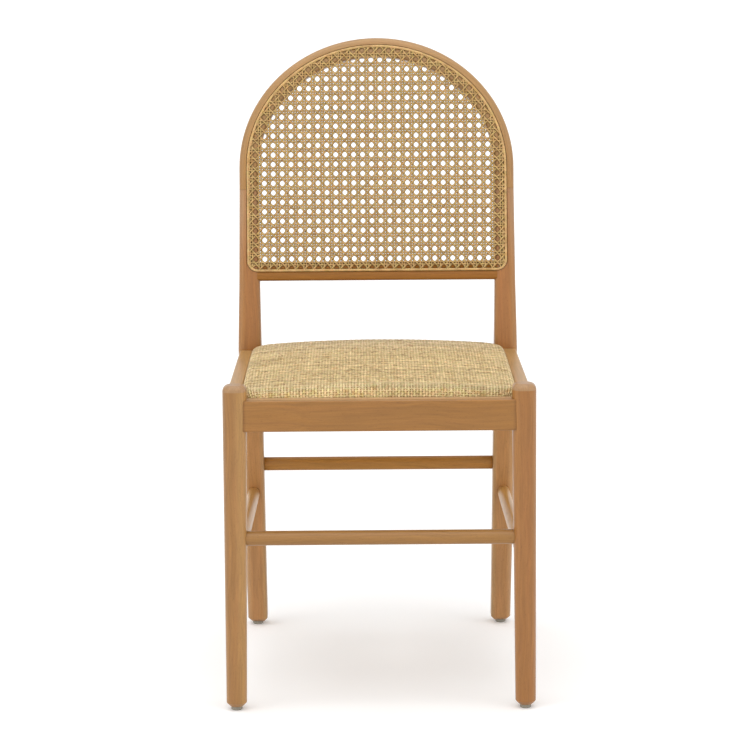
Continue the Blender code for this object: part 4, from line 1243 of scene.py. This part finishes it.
def plain(name, colour, rough, speckle, scale, metallic=0.0):
    """An even material with a light speckle of tone and a fine raised grain."""
    material, tree, shader = shader_nodes(name)
    tone = noise_on(tree, object_place(tree), (scale, scale, scale), PLAIN_DETAIL, PLAIN_MIX)
    tones = (0.30, dimmed(colour, 1 - speckle)), (0.70, dimmed(colour, 1 + speckle))
    tree.links.new(ramp(tree, tone, tones), shader.inputs["Base Color"])
    set_inputs(shader, {"Roughness": rough, "Metallic": metallic})
    raise_surface(tree, shader, tone, PLAIN_BUMP)
    return material


def give(piece, material):
    """This material, in place of what the piece had."""
    piece.data.materials.clear()
    piece.data.materials.append(material)


def set_grain(piece, rule, shift):
    """Store where each point lies along, across and through its plank."""
    mesh = piece.data
    layer = mesh.attributes.new("grain", "FLOAT_VECTOR", "POINT")
    away = shift * Vector(PLANK_SKEW)
    for index, point in enumerate(mesh.vertices):
        layer.data[index].vector = Vector(rule(point.co)) + away


def grain_rule(node):
    for part_name, rule in (("post", along_post), ("leg", along_z), ("side", along_y)):
        if part_name in node:
            return rule
    return along_x


def along_x(co):
    return co.x, co.y, co.z


def along_y(co):
    return co.y, co.x, co.z


def along_z(co):
    return co.z, co.x, co.y


def along_post(co):
    if co.z < BEND_Z:
        return co.z, co.x, co.y - share_of(POST_FOOT_Y, BEND_Y, co.z / BEND_Z)
    return co.z, co.x, co.y - BEND_Y - (co.z - BEND_Z) * math.tan(BACK_RAKE)


def along_arch(co):
    """Along the bent line of the arch, out of it, and through its thickness."""
    y, z = co.y - BEND_Y, co.z - BEND_Z
    up = y * math.sin(BACK_RAKE) + z * math.cos(BACK_RAKE)
    through = -y * math.cos(BACK_RAKE) + z * math.sin(BACK_RAKE)
    across = co.x / POST_X_ARCH
    rise = (up - ARCH_SPRING_UP) / ARCH_RISE
    if rise < 0:
        turned = up if co.x > 0 else 2 * ARCH_SPRING_UP + math.pi * POST_X_ARCH - up
        return turned, abs(co.x), through
    turned = ARCH_SPRING_UP + math.atan2(rise, across) * POST_X_ARCH
    return turned, math.hypot(across, rise) * POST_X_ARCH, through


def dress(piece, replaces=None):
    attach(piece, "root")
    if replaces:
        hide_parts(replaces)


# Colour of the wood, kind by kind, and the tints, mostly painted light and shade, that multiply it by
# the distance along an axis

PLANK_SHIFT = 1.7
PLANK_SKEW = (1.0, 0.37, 0.61)
EVEN = ()
FULL = (1.0, 1.0, 1.0)
# Painted light on the left front leg: its inner corner and its outer edge made lighter and paler, as
# if lit from the sides.
LEFT_LEG_PAINTED_LIGHT = (("X", (
    (0.1865, (1.28, 1.42, 1.52)),
    (0.1912, (1.20, 1.33, 1.42)),
    (0.1951, (1.09, 1.16, 1.25)),
    (0.2002, FULL),
    (0.2100, FULL),
    (0.2140, (1.08, 1.16, 1.24)),
)),)
# Painted light on the right front leg: its inner and outer edges made lighter and paler, as if lit
# from the sides.
RIGHT_LEG_PAINTED_LIGHT = (("X", (
    (0.1865, (1.14, 1.18, 1.14)),
    (0.1930, FULL),
    (0.2070, FULL),
    (0.2120, (1.10, 1.16, 1.25)),
)),)
# Painted light on the rear posts: lighter and paler below the seat, against the seat's shade, and
# above it towards the arch; painted highlights along their inner and outer edges.
POST_PAINTED_LIGHT = (
    ("Z", (
        (0.10, (1.22, 1.48, 2.30)),
        (0.28, (1.32, 1.57, 2.25)),
        (0.41, (1.20, 1.36, 1.62)),
        (0.44, FULL),
        (0.56, FULL),
        (0.64, (1.09, 1.32, 2.20)),
    )),
    ("X", (
        (0.1725, (1.05, 1.25, 1.50)),
        (0.1790, FULL),
        (0.1935, FULL),
        (0.1985, (1.03, 1.13, 1.28)),
        (0.2040, (1.06, 1.20, 1.45)),
    )),
)
ARCH_SLOPE = (("Z", ((0.68, (0.92, 0.83, 0.62)), (0.80, FULL))),)
# Painted light and shade on the front seat rail: a painted highlight on its top face, painted shade
# at its ends by the legs, a painted shadow along the seat's front edge, and the top darker towards
# its front edge.
FRONT_RAIL_PAINTED_LIGHT_AND_SHADE = (
    ("Z", ((0.4390, FULL), (0.4394, (1.60, 2.15, 5.40)))),
    ("X", ((0.1815, FULL), (0.1855, (0.74, 0.70, 0.62)))),
    ("Y", (
        (0.2155, (0.56, 0.49, 0.38)),
        (0.2235, FULL),
        (0.2290, FULL),
        (0.2318, (0.72, 0.60, 0.44)),
        (0.2387, (0.60, 0.46, 0.26)),
        (0.2395, FULL),
    )),
)
# The side seat rails and side stretchers are far lighter than the front ones: painted light on their
# lit faces.
WOOD_TONES = {
    "front_leg_left": ((0.338, 0.162, 0.047), LEFT_LEG_PAINTED_LIGHT),
    "front_leg_right": ((0.329, 0.140, 0.036), RIGHT_LEG_PAINTED_LIGHT),
    "rear_post": ((0.342, 0.137, 0.030), POST_PAINTED_LIGHT),
    "back_arch": ((0.396, 0.219, 0.079), ARCH_SLOPE),
    "back_lower_rail": ((0.286, 0.112, 0.013), EVEN, THIN_COAT),
    "front_seat_rail": ((0.318, 0.141, 0.029), FRONT_RAIL_PAINTED_LIGHT_AND_SHADE),
    "rear_seat_rail": ((0.318, 0.141, 0.029), EVEN),
    "side_seat_rail": ((0.420, 0.240, 0.084), EVEN),
    "front_stretcher": ((0.325, 0.158, 0.040), EVEN),
    "rear_stretcher": ((0.400, 0.188, 0.042), EVEN, THIN_COAT),
    "side_stretcher": ((0.530, 0.285, 0.080), EVEN),
}
# Domed leg tops: end grain, and painted light as well, paler and pinker than the legs as if lit from
# above.
END_GRAIN_AND_TOP_LIGHT = ((0.373, 0.210, 0.092), EVEN, COAT, (1.06, 0.98, 1.04), (1.0, 0.98, 0.94))


def wood_for(node):
    """The wood of a piece. Pieces that have no tone of their own share one with their pair."""
    kind = node
    if node not in WOOD_TONES:
        kind = node.removesuffix("_left").removesuffix("_right")
    return bpy.data.materials.get("beech_" + kind) or beech("beech_" + kind, *WOOD_TONES[kind])


def build_wood():
    upright, level, arch = build_frame()
    for piece in (*upright, *level, arch):
        modify(piece, "WEIGHTED_NORMAL", keep_sharp=True)
    end_grain_and_top_light = beech("beech_end_grain", *END_GRAIN_AND_TOP_LIGHT)
    for number, piece in enumerate((*upright, *level)):
        node = piece.name.removesuffix("_finished")
        give(piece, wood_for(node))
        # The domes take the end grain tone with its painted top light.
        if "leg" in node:
            piece.data.materials.append(end_grain_and_top_light)
            for face in piece.data.polygons:
                face.material_index = int(face.center.z > LEG_TOP_Z - LEG_DOME)
        set_grain(piece, grain_rule(node), PLANK_SHIFT * number)
        dress(piece, node)
    bent = beech("beech_arch", *WOOD_TONES["back_arch"])
    give(arch, bent)
    set_grain(arch, along_arch, 0.0)
    dress(arch, "back_arch")


# Colour, noise scale and the painted shade at the strands' edges of each kind of cane

OPEN_CANE = ((0.505, 0.328, 0.130), (150.0, 150.0, 150.0), 0.12, 0.40)
SPLINE_CANE = ((0.575, 0.450, 0.250), (90.0, 90.0, 90.0), 1.0)
SEAT_CANE_TONE = (0.594, 0.463, 0.257)
SEAT_SETS = (
    ("seat_strands_lengthwise", True, 1.16, (240.0, 22.0, 60.0), 0.32),
    ("seat_strands_crosswise", False, 0.96, (22.0, 240.0, 60.0), 0.85),
)


def build_back_cane():
    panel = back_cane()
    give(panel, cane("open_cane", *OPEN_CANE))
    dress(panel, "back_cane")
    cord = back_spline()
    give(cord, cane("cane_spline", *SPLINE_CANE))
    dress(cord, "back_spline")


def build_seat_cane():
    backing = seat_backing()
    give(backing, plain("seat_backing", *BACKING_LOOK))
    dress(backing)
    for name, lengthwise, shade, scale, edge in SEAT_SETS:
        sheet = seat_sheet(name, lengthwise)
        material = cane(name, dimmed(SEAT_CANE_TONE, shade), scale, edge)
        seat_rows_and_painted_light(material)
        give(sheet, material)
        dress(sheet, "seat_cover" if lengthwise else None)


# Even materials: colour, roughness, speckle, its noise scale and how metallic

BACKING_LOOK = ((0.58, 0.44, 0.23), 0.9, 0.10, 900.0)
PEG_LOOK = ((0.60, 0.43, 0.25), 0.6, 0.10, 120.0)
HIDDEN_LOOKS = (
    ("corner_block", "block_beech", (0.45, 0.25, 0.11), 0.6, 0.15, 60.0),
    ("seat_board", "plywood", (0.52, 0.36, 0.19), 0.7, 0.12, 80.0),
    ("seat_pad", "foam", (0.75, 0.68, 0.48), 0.95, 0.06, 900.0),
    ("screw", "zinc_steel", (0.60, 0.60, 0.60), 0.32, 0.08, 700.0, 1.0),
    ("tenon", "peg_beech", *PEG_LOOK),
    ("dowel", "peg_beech_round", *PEG_LOOK),
    ("glide", "glide_plastic", (0.27, 0.25, 0.20), 0.5, 0.12, 500.0),
)


def dress_hidden_pieces():
    """Better finishes for the pieces under the seat and in the joints."""
    for part_name, *look in HIDDEN_LOOKS:
        material = plain(*look)
        for thing in bpy.data.objects:
            if part_name in thing.name and thing.type == "MESH":
                give(thing, material)


# Camera, floor and light. A sun has a strength, a spread and a turn in degrees.

FLOOR_SIZE = 90.0
FLOOR_MIDDLE = (0.0, 20.0, 0.0)
FLOOR_TONE = 0.93
FLOOR_ROUGHNESS = 0.9
FLOOR_GLOW = 0.16
ROOM_LIGHT = 0.42
ROOM_SEEN = 1.0
SUNS = (
    ("overhead", 1.9, 75, (10, -4, 0)),
    ("front", 0.55, 60, (76, 0, 0)),
    ("left", 0.65, 45, (76, 0, -64)),
    ("right", 0.65, 45, (76, 0, 64)),
)


def set_camera():
    data = bpy.data.cameras.new("photo_camera")
    data.sensor_width = SENSOR_WIDTH
    data.sensor_fit = "HORIZONTAL"
    data.lens = FOCAL_PIXELS / FRAME_PIXELS * SENSOR_WIDTH
    data.clip_end = VIEW_END
    camera = bpy.data.objects.new("photo_camera", data)
    bpy.context.scene.collection.objects.link(camera)
    right = LOOK.cross(UP).normalized()
    up = right.cross(LOOK)
    turn = Matrix((right, up, -LOOK)).transposed()
    camera.matrix_world = Matrix.Translation(EYE) @ turn.to_4x4()
    bpy.context.scene.camera = camera


def seen_directly(tree):
    """1 for rays from the camera, and for the ones that a gloss or a glass sends on."""
    path = tree.nodes.new("ShaderNodeLightPath")
    direct = path.outputs["Is Camera Ray"]
    for kind in ("Is Glossy Ray", "Is Transmission Ray"):
        direct = calculated(tree, "MAXIMUM", direct, path.outputs[kind])
    return direct


def set_floor():
    """A white floor that keeps the shadow, a little lighter where it is seen than where it lights."""
    deselect()
    bpy.ops.mesh.primitive_plane_add(size=FLOOR_SIZE, location=FLOOR_MIDDLE)
    floor = new_piece("floor")
    settle(floor)
    material, tree, shader = shader_nodes("pale_floor")
    set_inputs(shader, {
        "Base Color": grey(FLOOR_TONE),
        "Roughness": FLOOR_ROUGHNESS,
        "Specular IOR Level": 0.0,
        "Emission Color": WHITE,
    })
    glow = calculated(tree, "MULTIPLY", seen_directly(tree), FLOOR_GLOW)
    tree.links.new(glow, shader.inputs["Emission Strength"])
    floor.data.materials.append(material)


def add_sun(name, energy, spread, turn):
    sun = bpy.data.lights.new(name, "SUN")
    sun.energy = energy
    sun.angle = math.radians(spread)
    lamp = bpy.data.objects.new(name, sun)
    lamp.rotation_euler = [math.radians(angle) for angle in turn]
    bpy.context.scene.collection.objects.link(lamp)


def set_light():
    """A white room, a wide light overhead and weak ones from the front and both sides."""
    world = bpy.data.worlds.new("studio")
    bpy.context.scene.world = world
    world.use_nodes = True
    tree = world.node_tree
    back = tree.nodes["Background"]
    back.inputs["Color"].default_value = WHITE
    strength = add_node(tree, "ShaderNodeMapRange")
    set_inputs(strength, {"To Min": ROOM_LIGHT, "To Max": ROOM_SEEN})
    tree.links.new(seen_directly(tree), strength.inputs["Value"])
    tree.links.new(strength.outputs["Result"], back.inputs["Strength"])
    for sun in SUNS:
        add_sun(*sun)


build_wood()
build_back_cane()
build_seat_cane()
dress_hidden_pieces()
set_camera()
set_floor()
set_light()
bpy.context.scene.view_settings.view_transform = "Standard"
